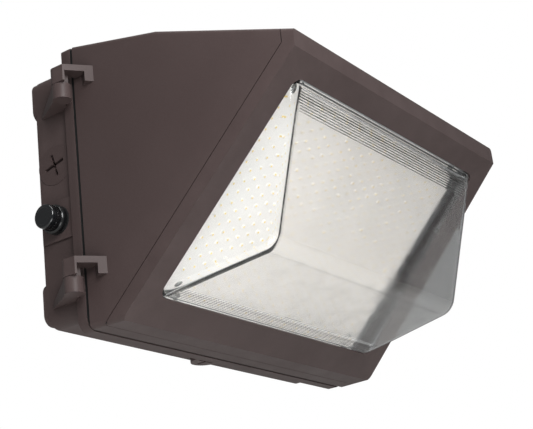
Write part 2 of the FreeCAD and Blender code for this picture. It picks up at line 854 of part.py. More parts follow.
def make_terminal_block():
    front = box_inside + of("terminal_depth")
    body = block("terminal_block", "XZ_Plane", of("terminal_length") / 2, of("terminal_height") / 2,
                 box_inside, of("terminal_depth"), terminal_place)
    poles = int(of("terminal_poles").value)
    shift = (poles - 1) / 2
    columns = [of("terminal_x") + (pole - shift) * of("terminal_pitch") for pole in range(poles)]
    wires = circles_sketch(body, "XY_Plane", [(x, -(box_inside + of("terminal_depth") / 3)) for x in columns],
                           of("terminal_wire_radius"), -of("terminal_drop"))
    pocket(body, wires, of("terminal_height") + 2 * PAST, both_ways=True)
    heads = [(x, -of("terminal_drop")) for x in columns]
    sunk = of("small_head_height") * 2
    pocket(body, circles_sketch(body, "XZ_Plane", heads,
                                of("small_head_radius") + of("screw_clearance"), front), sunk)
    pocket(body, circles_sketch(body, "XZ_Plane", heads, of("small_screw_radius"), front),
           of("terminal_depth") * 2 / 3)
    drill(body, "XZ_Plane", terminal_feet, small_screw_pass, front, of("terminal_depth"))
    clamp = make_screws("terminal_clamps", "XZ_Plane", heads, front - sunk, of("terminal_depth") / 4)
    feet = make_screws("terminal_fixings", "XZ_Plane", terminal_feet, front,
                       of("terminal_depth") + of("box_floor"))
    return [body, fuse("terminal_screws", clamp, feet)]


# ---------------------------------------------------------------- front housing

floor_line = -half_height
housing_foot = of("frame_skirt")
nose_back = of("body_reach") - of("nose_skirt")
shelf_back = of("shelf_depth") + of("shelf_thickness")
rear_roof_slope = of("roof_break_drop") / (of("roof_break_reach") - housing_rear)


def rear_roof_height(reach, below=0.0):
    drop = below * root(1.0 + rear_roof_slope * rear_roof_slope)
    return half_height - (reach - housing_rear) * rear_roof_slope - drop


def roof_break_inside(below):
    """The roof's break, seen from inside a wall of this thickness."""
    gap = rear_roof_height(0.0, below) - roof_height(0.0, below)
    reach = gap / (rear_roof_slope - roof_slope)
    return (reach, roof_height(reach, below))


def on_line(height, behind):
    return (reach_on_face(height, as_size(behind)), height)


def under_roof(behind, below):
    reach = roof_meets_face(behind, below)
    return (reach, roof_height(reach, below))


def make_hollows():
    """The two spaces inside the housing, behind and before the shelf of the light engine."""
    wall = of("housing_wall")
    far = housing_rear - OPEN / 2
    low = floor_line + wall
    rear = drafted_body("housing_rear_space", [
        (far, low), on_line(low, shelf_back), under_roof(shelf_back, wall),
        roof_break_inside(wall), (far, rear_roof_height(far, wall))], wall)
    front = drafted_body("housing_front_space", [
        on_line(low, of("shelf_depth")), (of("body_reach"), low),
        (of("body_reach"), roof_height(of("body_reach"), wall)),
        under_roof(of("shelf_depth"), wall)], wall)
    return [rear, front]


def make_door_arm(split):
    """The upper half of a hinge: an arm on the housing with a notch under its slanted side."""
    name = "upper" if split.value > 0 else "lower"
    low = split + of("hinge_gap")
    body = new_body(f"door_arm_{name}")
    near = -(housing_rear + of("arm_step"))
    far = hinge_y - of("arm_run")
    wall_x = -(half_width(-far) - of("housing_wall") / 2)
    outer_x = hinge_x - of("knuckle_half")
    corner_y = hinge_y - of("arm_front")
    corners = [(outer_x, hinge_y + of("arm_rear")), (outer_x, corner_y), (wall_x, far), (wall_x, near),
               (hinge_x + of("knuckle_half"), near),
               (hinge_x + of("knuckle_half"), hinge_y + of("arm_rear"))]
    pad(body, polygon_sketch(body, "XY_Plane", corners, low), of("door_knuckle_height"))
    fillet(body, of("knuckle_round"),
           lambda edge: runs_along(2)(edge) and edge.CenterOfMass.y > hinge_y.value)
    run_x = wall_x - outer_x
    run_y = far - corner_y
    length = root(run_x * run_x + run_y * run_y)
    notch = []
    for share, depth in ((of("arm_notch_start"), -PAST), (of("arm_notch_end"), -PAST),
                         (of("arm_notch_end"), of("arm_notch_deepest")),
                         (of("arm_notch_step"), of("arm_notch_deepest")),
                         (of("arm_notch_step"), of("arm_notch_depth")),
                         (of("arm_notch_start"), of("arm_notch_depth"))):
        notch.append((outer_x + run_x * share - run_y / length * depth,
                      corner_y + run_y * share + run_x / length * depth))
    pocket(body, polygon_sketch(body, "XY_Plane", notch, low), of("arm_notch_height"), backwards=True)
    return body


def make_door_ear(height):
    """The lug on the right side that holds a captive door screw."""
    name = "upper" if height.value > 0 else "lower"
    outer = of("body_width") / 2 + of("ear_out")
    inner = half_width(housing_rear + of("ear_depth")) - of("housing_wall") / 2
    body = block(f"door_ear_{name}", "XZ_Plane", (outer - inner) / 2, of("ear_width") / 2,
                 housing_rear, of("ear_depth"), ((outer + inner) / 2, height))
    fillet(body, of("ear_corner"),
           lambda edge: runs_along(1)(edge) and edge.CenterOfMass.x > ear_middle.value)
    return body


def make_front_housing():
    outer = drafted_body("housing_outer", [
        (housing_rear, floor_line), on_line(floor_line, housing_foot),
        (nose_back, face_height(nose_back, housing_foot)), (nose_back, roof_height(nose_back)),
        (of("roof_break_reach"), half_height - of("roof_break_drop")), (housing_rear, half_height)])
    round_long_corners(outer)
    opening = block("shelf_opening", "XY_Plane", shelf_open_x, shelf_open_y,
                    -(shelf_back + PAST), of("shelf_thickness") + 2 * PAST, tilted=True)
    shell = cut("housing_shell", outer, *make_hollows(), opening)
    splits = (hinge_height, -hinge_height)
    solid = fuse("housing_solid", shell, *[make_door_arm(split) for split in splits],
                 *[make_door_ear(height) for height in splits])
    ears = [(door_screw_x, height) for height in splits]
    front = housing_rear + of("ear_depth")
    tools = [
        rods("ear_necks", "XZ_Plane", ears, of("door_screw_neck_radius") + of("door_screw_slack"),
             front - of("ear_neck") - PAST, of("ear_neck") + 2 * PAST),
        rods("ear_counterbores", "XZ_Plane", ears, of("door_screw_radius") + of("door_screw_slack"),
             housing_rear - PAST, of("ear_depth") - of("ear_neck") + PAST),
        rods("shelf_screw_holes", "XY_Plane", frame_boss_places, small_screw_pass,
             -(shelf_back + PAST), of("shelf_thickness") + 2 * PAST, tilted=True),
        rods("carrier_screw_holes", "XY_Plane", carrier_screw_places, of("small_screw_radius"),
             -(shelf_back + PAST), of("shelf_thickness") + 2 * PAST, tilted=True),
    ]
    for split in splits:
        name = "upper" if split.value > 0 else "lower"
        tools.append(rods(f"door_pin_hole_{name}", "XY_Plane", [(hinge_x, hinge_y)],
                          of("pin_radius") + of("pin_clearance"), split - PAST,
                          of("hinge_gap") + of("pin_rise") + 2 * PAST))
    return cut("front_housing", solid, *tools)


# ---------------------------------------------------------------- front frame and lens

lens_top = of("window_top") + of("lens_gap")
lens_foot = window_foot - of("lens_gap")
lens_margin = of("window_side") + of("lens_gap")
flange_top = lens_top - of("lens_flange_lap")
flange_foot = lens_foot + of("lens_flange_lap")
flange_margin = lens_margin - of("lens_flange_lap")
flange_front = -(of("frame_wall") + of("lens_seal_thickness"))
flange_back = flange_front - of("lens_flange_thickness")
board_half_x = face_half_width(of("window_top")) - of("window_side") - of("board_inset_x")
board_half_y = window_half - of("board_inset_y")
carrier_half_x = board_half_x + of("carrier_margin_x")
carrier_half_y = board_half_y + of("carrier_margin_y")
shelf_open_x = board_half_x - of("shelf_lap_x")
shelf_open_y = board_half_y - of("shelf_lap_y")
boss_ends = (of("boss_end"), face_length - of("boss_end"))
frame_boss_places = [(side * (face_half_width(along) - of("boss_edge")), up_face(along))
                     for along in boss_ends for side in (-1.0, 1.0)]
frame_boss_places += [(0.0, up_face(of("boss_middle_end"))),
                      (0.0, up_face(face_length - of("boss_end")))]
carrier_screw_places = [(side * (shelf_open_x + of("carrier_screw_inset")),
                         step * shelf_open_y * of("carrier_screw_share"))
                        for side in (-1.0, 1.0) for step in (-1.0, 0.0, 1.0)]


def clip_layout():
    """Middle, half length, half width and boss place of every lens clip."""
    layout = []
    half_wide = of("clip_width") / 2
    half_long = (of("clip_hold") + of("clip_boss_offset") + of("clip_boss_radius")) / 2
    for side in (-1.0, 1.0):
        x = side * of("clip_spacing") / 2
        for edge, out in ((up_face(flange_top), 1.0), (up_face(flange_foot), -1.0)):
            middle = edge + out * (half_long - of("clip_hold"))
            layout.append(((x, middle), (half_wide, half_long), (x, edge + out * of("clip_boss_offset"))))
        for step in (-1.0, 1.0):
            along = (flange_top + flange_foot) / 2 + step * of("clip_side_spacing") / 2
            edge = face_half_width(along) - flange_margin
            middle = edge + half_long - of("clip_hold")
            layout.append(((side * middle, up_face(along)), (half_long, half_wide),
                           (side * (edge + of("clip_boss_offset")), up_face(along))))
    return layout


def make_front_frame():
    skirt = of("frame_skirt") - of("parting_gap")
    seam = nose_back + of("parting_gap")
    wall = of("frame_wall")
    outer = drafted_body("frame_outer", [
        on_line(floor_line, skirt), on_line(floor_line, 0.0), (of("body_reach"), nose_foot),
        (of("body_reach"), nose_foot + of("nose_height")), (seam, roof_height(seam)),
        (seam, face_height(seam, skirt))])
    round_long_corners(outer)
    low = floor_line + wall
    nose_inside = of("body_reach") - wall
    deep = of("frame_skirt") * 2
    hollow = drafted_body("frame_space", [
        on_line(low, wall), (nose_inside, face_height(nose_inside, wall)),
        (nose_inside, roof_height(nose_inside, wall)), under_roof(deep, wall), on_line(low, deep)], wall)
    window = new_body("frame_window", tilted=True)
    corners = face_trapezoid(of("window_side"), of("window_top"), window_foot)
    pad(window, polygon_sketch(window, "XY_Plane", corners, -(wall + PAST)), wall + 2 * PAST)
    fillet(window, of("lens_side_radius") + of("lens_gap"), runs_along(2))
    shell = cut("frame_shell", outer, hollow, window)
    bosses = rods("frame_bosses", "XY_Plane", frame_boss_places, of("boss_radius"), -of("shelf_depth"),
                  of("shelf_depth") - wall / 2, tilted=True)
    clip_bosses = [boss for _, _, boss in clip_layout()]
    posts = rods("clip_bosses", "XY_Plane", clip_bosses, of("clip_boss_radius"), flange_back,
                 -flange_back - wall / 2, tilted=True)
    solid = fuse("frame_solid", shell, bosses, posts)
    bite = of("shelf_depth") - wall
    boss_holes = rods("frame_boss_holes", "XY_Plane", frame_boss_places, of("small_screw_radius"),
                      -(of("shelf_depth") + PAST), bite + PAST, tilted=True)
    clip_holes = rods("clip_boss_holes", "XY_Plane", clip_bosses, of("small_screw_radius"),
                      flange_back - PAST, -flange_back - wall + PAST, tilted=True)
    return cut("front_frame", solid, boss_holes, clip_holes)


def make_frame_gasket():
    seam = nose_back + of("parting_gap")
    inset = of("seal_inset")
    low = floor_line + inset
    sheet_body = drafted_body("frame_gasket_sheet", [
        on_line(low, housing_foot), on_line(low, housing_foot - of("parting_gap")),
        (seam, face_height(seam, housing_foot - of("parting_gap"))), (seam, roof_height(seam, inset)),
        (nose_back, roof_height(nose_back, inset)), (nose_back, face_height(nose_back, housing_foot))], inset)
    inner = inset + of("housing_wall")
    far = housing_rear - OPEN / 2
    space = drafted_body("frame_gasket_space", [
        (far, floor_line + inner), (of("body_reach"), floor_line + inner),
        (of("body_reach"), roof_height(of("body_reach"), inner)), roof_break_inside(inner),
        (far, rear_roof_height(far, inner))], inner)
    return cut("frame_gasket", sheet_body, space)


def wedge_lines(inset):
    """Slope, stretch and rim of the lens's two faces, for a wedge inset by a wall."""
    rim = up_face(lens_top)
    foot = -up_face(lens_foot)
    ridge = up_face(of("lens_ridge_along"))
    upper = of("lens_drop") / (rim - ridge)
    lower = of("lens_drop") / (foot + ridge)
    upper_drop = inset * root(1.0 + upper * upper)
    lower_drop = inset * root(1.0 + lower * lower)
    return rim, foot, upper, lower, upper_drop, lower_drop


def make_lens_wedge(label, inset, low):
    """The drop shape of the lens, or of its hollow when inset by the lens wall."""
    inset = as_size(inset)
    rim, foot, upper, lower, upper_drop, lower_drop = wedge_lines(inset)
    top_y = rim - inset
    foot_y = inset - foot
    ridge_y = (rim * upper - foot * lower - upper_drop + lower_drop) / (upper + lower)
    ridge_z = (rim - ridge_y) * upper - upper_drop
    body = new_body(label, tilted=True)
    corners = [(foot_y, low), (top_y, low), (top_y, (rim - top_y) * upper - upper_drop),
               (ridge_y, ridge_z), (foot_y, (foot_y + foot) * lower - lower_drop)]
    pad(body, polygon_sketch(body, "YZ_Plane", corners), of("body_width"), both_ways=True)
    turn = draft_slope * face_cosine
    square = 1.0 / root(1.0 + turn * turn)
    base = (face_half_width(window_middle) - lens_margin - inset) * square
    lean = tangent(of("lens_side_draft"))
    high = of("lens_drop") + OPEN
    for side in (-1.0, 1.0):
        sketch = new_sketch(body, "XZ_Plane")
        sketch.AttachmentOffset = Placement(Vector(0, 0, 0), Rotation(Vector(0, side, 0), 1))
        sketch.setExpression("AttachmentOffset.Rotation.Angle", angle_of(turn).text)
        foot_z = low - PAST
        add_polygon(sketch, [(side * (base - lean * foot_z), foot_z), (side * (base - lean * high), high),
                             (side * of("body_width"), high), (side * of("body_width"), foot_z)])
        pocket(body, sketch, of("body_height") * 2, both_ways=True)
    ridge_radius = of("lens_ridge_radius") - inset
    fillet(body, ridge_radius,
           lambda edge: runs_along(0)(edge) and edge.CenterOfMass.z > ridge_z.value - PAST)
    fillet(body, of("lens_side_radius") - inset,
           lambda edge: abs(edge.CenterOfMass.x) > base.value / 2 and edge.CenterOfMass.z > low.value + TINY)
    return body


def make_lens():
    outer = make_lens_wedge("lens_outer", 0.0, flange_back)
    hollow = make_lens_wedge("lens_hollow", of("lens_wall"), flange_back - PAST)
    flange = new_body("lens_flange", tilted=True)
    corners = face_trapezoid(flange_margin, flange_top, flange_foot)
    pad(flange, polygon_sketch(flange, "XY_Plane", corners, flange_back), of("lens_flange_thickness"))
    fillet(flange, of("lens_side_radius"), runs_along(2))
    return cut("lens", fuse("lens_blank", outer, flange), hollow)


def make_lens_gasket():
    outer = new_body("lens_seal_outer", tilted=True)
    corners = face_trapezoid(flange_margin, flange_top, flange_foot)
    pad(outer, polygon_sketch(outer, "XY_Plane", corners, flange_front), of("lens_seal_thickness"))
    fillet(outer, of("lens_side_radius"), runs_along(2))
    inner = new_body("lens_seal_inner", tilted=True)
    corners = face_trapezoid(of("window_side"), of("window_top"), window_foot)
    pad(inner, polygon_sketch(inner, "XY_Plane", corners, flange_front - PAST),
        of("lens_seal_thickness") + 2 * PAST)
    fillet(inner, of("lens_side_radius") + of("lens_gap"), runs_along(2))
    return cut("lens_gasket", outer, inner)


def make_lens_clips():
    body = new_body("lens_clips", tilted=True)
    layout = clip_layout()
    sketch = new_sketch(body, "XY_Plane", flange_back - of("clip_thickness"))
    for middle, halves, _ in layout:
        add_rectangle(sketch, *halves, middle)
    pad(body, sketch, of("clip_thickness"))
    places = [boss for _, _, boss in layout]
    drill(body, "XY_Plane", places, small_screw_pass, flange_back, of("clip_thickness"))
    screws = make_screws("lens_clip_screws", "XY_Plane", places, flange_back - of("clip_thickness"),
                         of("clip_thickness") + of("lens_flange_thickness") / 2, tilted=True, flip=True)
    return [body, screws]


# ---------------------------------------------------------------- light engine

carrier_back = -of("shelf_depth")
carrier_front = carrier_back + of("carrier_thickness")
board_front = carrier_front + of("board_thickness")
board_screw_places = [(side * (board_half_x - of("board_screw_inset")),
                       end * (board_half_y - of("board_screw_inset") / 2))
                      for side in (-1.0, 1.0) for end in (-1.0, 1.0)]
driver_back = carrier_back - of("driver_height")
driver_foot_places = [(side * (of("driver_length") / 2 + of("driver_foot") / 2), 0.0) for side in (-1.0, 1.0)]


def make_carrier():
    plate = block("carrier_plate", "XY_Plane", carrier_half_x, carrier_half_y, carrier_back,
                  of("carrier_thickness"), tilted=True)
    depth = of("carrier_thickness")
    drill(plate, "XY_Plane", carrier_screw_places, small_screw_pass,
          carrier_front, depth)
    drill(plate, "XY_Plane", board_screw_places + driver_foot_places, of("small_screw_radius"),
          carrier_front, depth)
    screws = make_screws("carrier_screws", "XY_Plane", carrier_screw_places, carrier_front,
                         depth + of("shelf_thickness"), tilted=True)
    return [plate, screws]


def make_board():
    board = block("led_board", "XY_Plane", board_half_x, board_half_y, carrier_front,
                  of("board_thickness"), tilted=True)
    drill(board, "XY_Plane", board_screw_places, small_screw_pass,
          board_front, of("board_thickness"))
    screws = make_screws("board_screws", "XY_Plane", board_screw_places, board_front,
                         of("board_thickness") + of("carrier_thickness"), tilted=True)
    return [board, screws]


def make_chips():
    """Several hundred equal chips, every other column moved down by half a pitch."""
    pitch = of("chip_pitch").value
    lengths = [2 * (half - of("chip_edge")).value for half in (board_half_x, board_half_y)]
    columns, rows = (int(reach / pitch) + 1 for reach in lengths)
    length, width, height = (of(f"chip_{side}").value for side in ("length", "width", "height"))
    keep_off = of("small_head_radius").value + length
    screws = [Vector(x.value, y.value, 0) for x, y in board_screw_places]
    chips = []
    for column in range(columns):
        for line in range(rows):
            x = (column - (columns - 1) / 2) * pitch
            y = (line - (rows - 1) / 2) * pitch + (pitch / 4 if column % 2 else -pitch / 4)
            if min((Vector(x, y, 0) - screw).Length for screw in screws) > keep_off:
                corner = Vector(x - length / 2, y - width / 2, board_front.value)
                chips.append(Part.makeBox(length, width, height, corner))
    group = doc.addObject("Part::Feature", "led_chips")
    group.Label = "led_chips"
    group.Shape = Part.makeCompound(chips)
    tilt(group)
    return group


def make_driver():
    half_x = of("driver_length") / 2
    half_y = of("driver_width") / 2
    wall = of("driver_wall")
    case = block("driver_case", "XY_Plane", half_x, half_y, driver_back, of("driver_height"), tilted=True)
    feet = rectangle_sketch(case, "XY_Plane", half_x + of("driver_foot"), half_y / 2, carrier_back - wall)
    pad(case, feet, wall)
    inside = rectangle_sketch(case, "XY_Plane", half_x - wall, half_y - wall, driver_back)
    pocket(case, inside, of("driver_height") - wall, backwards=True)
    drill(case, "XY_Plane", driver_foot_places, small_screw_pass, carrier_back, wall)
    lid = block("driver_lid", "XY_Plane", half_x, half_y, driver_back - wall, wall, tilted=True)
    screws = make_screws("driver_screws", "XY_Plane", driver_foot_places, carrier_back - wall,
                         wall + of("carrier_thickness"), tilted=True, flip=True)
    return [case, lid, screws]


def make_door_screw(label, height):
    """A captive screw: its thread is wider than the neck of the lug that it runs in."""
    place = [(door_screw_x, height)]
    head_seat = housing_rear + of("ear_depth")
    tip = of("box_reach") - of("door_screw_bite")
    body = rods(label, "XZ_Plane", place, of("door_screw_radius"), tip, of("door_screw_thread"))
    neck_foot = tip + of("door_screw_thread")
    neck = circles_sketch(body, "XZ_Plane", place, of("door_screw_neck_radius"), neck_foot)
    pad(body, neck, head_seat - neck_foot)
    head = circles_sketch(body, "XZ_Plane", place, of("door_screw_head_radius"), head_seat)
    pad(body, head, of("door_screw_head_height"))
    slot = rectangle_sketch(body, "XZ_Plane", of("door_screw_head_radius") * of("slot_share"),
                            of("slot_half_width"), head_seat + of("door_screw_head_height"), place[0])
    pocket(body, slot, of("door_screw_head_height") / 2)
    return body


# ---------------------------------------------------------------- the assembly

frame_screw_bite = of("shelf_thickness") + of("shelf_depth") - of("frame_wall") - of("screw_tip_gap")
parts = [make_back_box(), make_box_gasket(), make_side_plug("plug_left", -1),
         make_side_plug("plug_right", 1), make_bottom_plug(), make_grommet()]
parts += make_photocell()
parts += [make_hinge_pin("hinge_pin_upper", hinge_height),
          make_hinge_pin("hinge_pin_lower", -hinge_height)]
parts += make_terminal_block()
parts += [make_screws("ground_screw", "XZ_Plane", [ground_place], box_inside, of("box_floor"))]
parts += [make_front_housing(), make_front_frame(), make_frame_gasket(), make_lens(), make_lens_gasket()]
parts += make_lens_clips() + make_carrier() + make_board() + [make_chips()] + make_driver()
parts += [make_screws("frame_screws", "XY_Plane", frame_boss_places, -shelf_back, frame_screw_bite,
                      tilted=True, flip=True)]
parts += [make_door_screw("door_screw_upper", hinge_height),
          make_door_screw("door_screw_lower", -hinge_height)]
doc.recompute()

for item in doc.Objects:
    if "Invalid" in item.State or "Error" in item.State:
        raise RuntimeError(f"{item.Label} did not build: {item.State}")
for part in parts:
    if part.Shape.isNull() or not part.Shape.isValid():
        raise RuntimeError(f"{part.Label} has no valid shape")

os.makedirs("parts", exist_ok=True)
for part in parts:
    part.Shape.exportStep(f"parts/{part.Label}.step")
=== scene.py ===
"""Wall pack light: camera, studio, finishes and the finer pieces of the visual model.

All lengths are metres in the row frame: +Z up, +X to the right of someone who faces
the light, +Y into the wall. The origin is on the wall, at the middle of the back box.
"""

import json
import logging
import math
from dataclasses import dataclass
from enum import Enum
from functools import cache
from typing import Callable

import bmesh
import bpy
import numpy as np
from bpy.types import (ID, Material, Node, NodeSocket, NodeTree, NodeTreeInterfaceSocket,
                       Object)
from mathutils import Matrix, Vector

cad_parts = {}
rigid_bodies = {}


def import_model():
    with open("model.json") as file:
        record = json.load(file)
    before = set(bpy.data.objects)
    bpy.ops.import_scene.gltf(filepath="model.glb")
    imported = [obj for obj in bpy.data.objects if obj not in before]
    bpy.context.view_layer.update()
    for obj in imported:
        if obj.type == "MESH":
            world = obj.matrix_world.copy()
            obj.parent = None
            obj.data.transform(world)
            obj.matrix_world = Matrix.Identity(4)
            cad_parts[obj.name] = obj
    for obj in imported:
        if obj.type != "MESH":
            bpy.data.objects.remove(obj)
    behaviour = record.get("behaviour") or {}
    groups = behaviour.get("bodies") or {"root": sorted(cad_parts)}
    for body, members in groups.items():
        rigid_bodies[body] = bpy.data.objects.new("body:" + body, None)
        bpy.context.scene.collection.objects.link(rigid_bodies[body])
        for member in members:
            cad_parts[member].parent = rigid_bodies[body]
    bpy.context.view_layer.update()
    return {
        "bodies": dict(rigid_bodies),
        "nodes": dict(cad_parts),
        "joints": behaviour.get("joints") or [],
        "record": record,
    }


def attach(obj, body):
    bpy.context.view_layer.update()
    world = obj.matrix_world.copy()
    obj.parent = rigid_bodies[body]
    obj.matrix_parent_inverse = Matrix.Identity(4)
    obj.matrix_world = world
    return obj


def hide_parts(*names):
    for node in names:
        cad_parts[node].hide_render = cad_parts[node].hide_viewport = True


logging.basicConfig(level=logging.INFO, format="%(message)s")
log = logging.getLogger("wall_pack")

Point = tuple[float, float]
Triple = tuple[float, float, float]
Effect = Callable[[], NodeTree]

IMAGE_WIDTH = 533
IMAGE_HEIGHT = 429
ORIGIN = Matrix.Identity(4)
# Edges that turn by more than this are shaded sharp.
SHARP_ANGLE = math.radians(32.0)
# Points closer than this are one.
WELD_DISTANCE = 1e-6
# How far a cutter goes past the surface that it opens.
CUTTER_PAST = 0.01
NOISE_ROUGHNESS = 0.55


class Body(Enum):
    """The rigid bodies of the CAD model that the finer pieces ride on."""

    BASE = "base"
    DOOR = "door"


def srgb(red: int, green: int, blue: int) -> Triple:
    """Turn an 8 bit display colour into the linear values that a shader takes."""
    return tuple(share / 12.92 if share <= 0.04045 else ((share + 0.055) / 1.055) ** 2.4
                 for share in (red / 255, green / 255, blue / 255))


# ---- node trees


class Tree:
    """A node tree, and short calls that add its sockets and nodes."""

    def __init__(self, name: str, kind: str) -> None:
        """Start an empty tree of a kind.

        Args:
            name: Name of the tree.
            kind: Its type name.
        """
        self.tree = bpy.data.node_groups.new(name, kind)
        self.source = self.tree.nodes.new("NodeGroupInput")
        self.sink = self.tree.nodes.new("NodeGroupOutput")

    def declare(self, name: str, way: str, kind: str) -> NodeTreeInterfaceSocket:
        """Declare a socket, INPUT or OUTPUT, by its type name after "NodeSocket"."""
        return self.tree.interface.new_socket(name, in_out=way, socket_type=f"NodeSocket{kind}")

    def node(self, kind: str, inputs: dict, **settings: str) -> Node:
        """Add a node.

        Args:
            kind: The node's type name.
            inputs: Values or sockets by input name or number.
            settings: Attributes of the node.

        Returns:
            The new node.
        """
        made = self.tree.nodes.new(kind)
        for name, value in settings.items():
            setattr(made, name, value)
        for name, value in inputs.items():
            if isinstance(value, NodeSocket):
                self.tree.links.new(value, made.inputs[name])
            else:
                made.inputs[name].default_value = value
        return made

    def math(self, operation: str, first: object, second: object = 0.0) -> NodeSocket:
        """One arithmetic step on two values or sockets."""
        return self.node("ShaderNodeMath", {0: first, 1: second}, operation=operation).outputs[0]


class EffectGroup(Tree):
    """A shader node group with named inputs, and the outputs Color, Roughness and Height."""

    def __init__(self, name: str, **inputs: float | Triple) -> None:
        """Start a group.

        Args:
            name: Name of the group.
            inputs: Defaults of the named inputs: numbers, or colours of three.
        """
        super().__init__(name, "ShaderNodeTree")
        self.coordinates = self.tree.nodes.new("ShaderNodeTexCoord")
        for label, value in inputs.items():
            if isinstance(value, tuple):
                self.declare(label, "INPUT", "Color").default_value = (*value, 1.0)
            else:
                self.declare(label, "INPUT", "Float").default_value = value

    def read(self, name: str) -> NodeSocket:
        """The socket inside the group that carries an input."""
        return self.source.outputs[name]

    def noise(self, scale: object, detail: float = 3.0,
              stretch: Triple = (1.0, 1.0, 1.0)) -> NodeSocket:
        """Noise in object coordinates.

        Args:
            scale: Number or socket with the noise's scale.
            detail: Number of octaves.
            stretch: Scale along each axis.

        Returns:
            The noise's value.
        """
        place = self.node("ShaderNodeMapping", {
            "Vector": self.coordinates.outputs["Object"], "Scale": stretch})
        return self.node("ShaderNodeTexNoise", {
            "Vector": place.outputs["Vector"], "Scale": scale, "Detail": detail,
            "Roughness": NOISE_ROUGHNESS}).outputs["Fac"]

    def spread(self, value: NodeSocket, low: float = 0.0, high: float = 1.0,
               start: float = 0.3, end: float = 0.7) -> NodeSocket:
        """Map a value between two limits onto another range.

        Args:
            value: The value.
            low: Result at the first limit.
            high: Result at the second limit.
            start: The first limit.
            end: The second limit.

        Returns:
            The mapped value.
        """
        return self.node("ShaderNodeMapRange", {
            "Value": value, "From Min": start, "From Max": end,
            "To Min": low, "To Max": high}).outputs["Result"]

    def blend(self, factor: object, first: object, second: object) -> NodeSocket:
        """Mix two colours, which are sockets 6 and 7 of the node, with the result at 2."""
        inputs = {0: factor, 6: first, 7: second}
        return self.node("ShaderNodeMix", inputs, data_type="RGBA").outputs[2]

    def close(self, colour: NodeSocket, offset: NodeSocket, height: NodeSocket) -> NodeTree:
        """Feed the outputs.

        Args:
            colour: What goes to Color.
            offset: What is added to the input Roughness on its way to the output.
            height: What goes to Height, for the bump.

        Returns:
            The finished group.
        """
        roughness = self.math("ADD", self.read("Roughness"), offset)
        for name, kind, value in (("Color", "Color", colour), ("Roughness", "Float", roughness),
                                  ("Height", "Float", height)):
            self.declare(name, "OUTPUT", kind)
            self.tree.links.new(value, self.sink.inputs[name])
        return self.tree


@cache
def coat_group() -> NodeTree:
    """Powder coat: fine orange peel, slow drift of tone, and edges lightened to the second tone,
    partly as rubbed wear and partly as a painted highlight.

    Returns:
        The group, built at its first use.
    """
    group = EffectGroup("PowderCoat", Base=(0.05, 0.04, 0.04), Second=(0.1, 0.09, 0.09),
                        Grain=1400.0, Roughness=0.45)
    base, second = group.read("Base"), group.read("Second")
    drift = group.spread(group.noise(scale=7.0, detail=2.0))
    speck = group.spread(group.noise(scale=900.0, detail=2.0), start=0.35, end=0.65)
    drift_share, speck_share = 0.22, 0.12
    shade = group.math("ADD", group.math("MULTIPLY", drift, drift_share),
                       group.math("MULTIPLY", speck, speck_share))
    shape = group.node("ShaderNodeNewGeometry", {})
    # Convex edges lean to the lighter second tone: partly rubbed wear, partly a painted highlight
    # along the creases.
    edge = group.spread(shape.outputs["Pointiness"], low=0.0, high=0.5, start=0.53, end=0.62)
    worn_and_highlit_edge = group.math("MULTIPLY", edge, group.spread(group.noise(scale=60.0), low=0.2, high=1.0))
    patch = group.spread(group.noise(scale=25.0, detail=4.0), low=-0.05, high=0.07)
    return group.close(group.blend(worn_and_highlit_edge, group.blend(shade, base, second), second), patch,
                       group.noise(group.read("Grain"), detail=2.0))


@cache
def grain_group() -> NodeTree:
    """Moulded plastic, rubber or board: two tones, rough patches and a fine tooth.

    Returns:
        The group, built at its first use.
    """
    group = EffectGroup("MouldGrain", Base=(0.5, 0.5, 0.5), Second=(0.4, 0.4, 0.4),
                        Grain=900.0, Roughness=0.5, Variation=0.1)
    tone = group.spread(group.noise(scale=18.0, detail=4.0))
    patch = group.spread(group.noise(scale=70.0), low=-1.0, high=1.0)
    offset = group.math("MULTIPLY", patch, group.read("Variation"))
    return group.close(group.blend(tone, group.read("Base"), group.read("Second")), offset,
                       group.noise(group.read("Grain")))


@cache
def metal_group() -> NodeTree:
    """Bare or plated metal: drawn streaks along X, and dull patches.

    Returns:
        The group, built at its first use.
    """
    group = EffectGroup("DrawnMetal", Base=(0.6, 0.6, 0.6), Second=(0.45, 0.45, 0.45),
                        Grain=500.0, Roughness=0.35)
    streak = group.noise(group.read("Grain"), stretch=(0.05, 1.0, 1.0))
    tone = group.spread(group.noise(scale=30.0))
    offset = group.spread(streak, low=-0.08, high=0.1)
    return group.close(group.blend(tone, group.read("Base"), group.read("Second")), offset, streak)


# ---- finishes


@dataclass(frozen=True)
class Surface:
    """What every finish has: a shared effect, with a value for each of its inputs."""

    name: str
    effect: Effect
    base: Triple
    second: Triple
    grain: float
    roughness: float
    variation: float = 0.08

    def start(self) -> tuple[Material, Node, Node]:
        """Start the material, with the colour and the roughness that the effect gives.

        Returns:
            The material, the node that holds the effect's group, and the shader's node.
        """
        made = bpy.data.materials.new(f"{self.name}_finish")
        made.use_nodes = True
        nodes, links = made.node_tree.nodes, made.node_tree.links
        group = nodes.new("ShaderNodeGroup")
        group.node_tree = self.effect()
        for socket in group.inputs:
            value = getattr(self, socket.name.lower())
            socket.default_value = (*value, 1.0) if isinstance(value, tuple) else value
        surface = nodes["Principled BSDF"]
        links.new(group.outputs["Color"], surface.inputs["Base Color"])
        links.new(group.outputs["Roughness"], surface.inputs["Roughness"])
        return made, group, surface


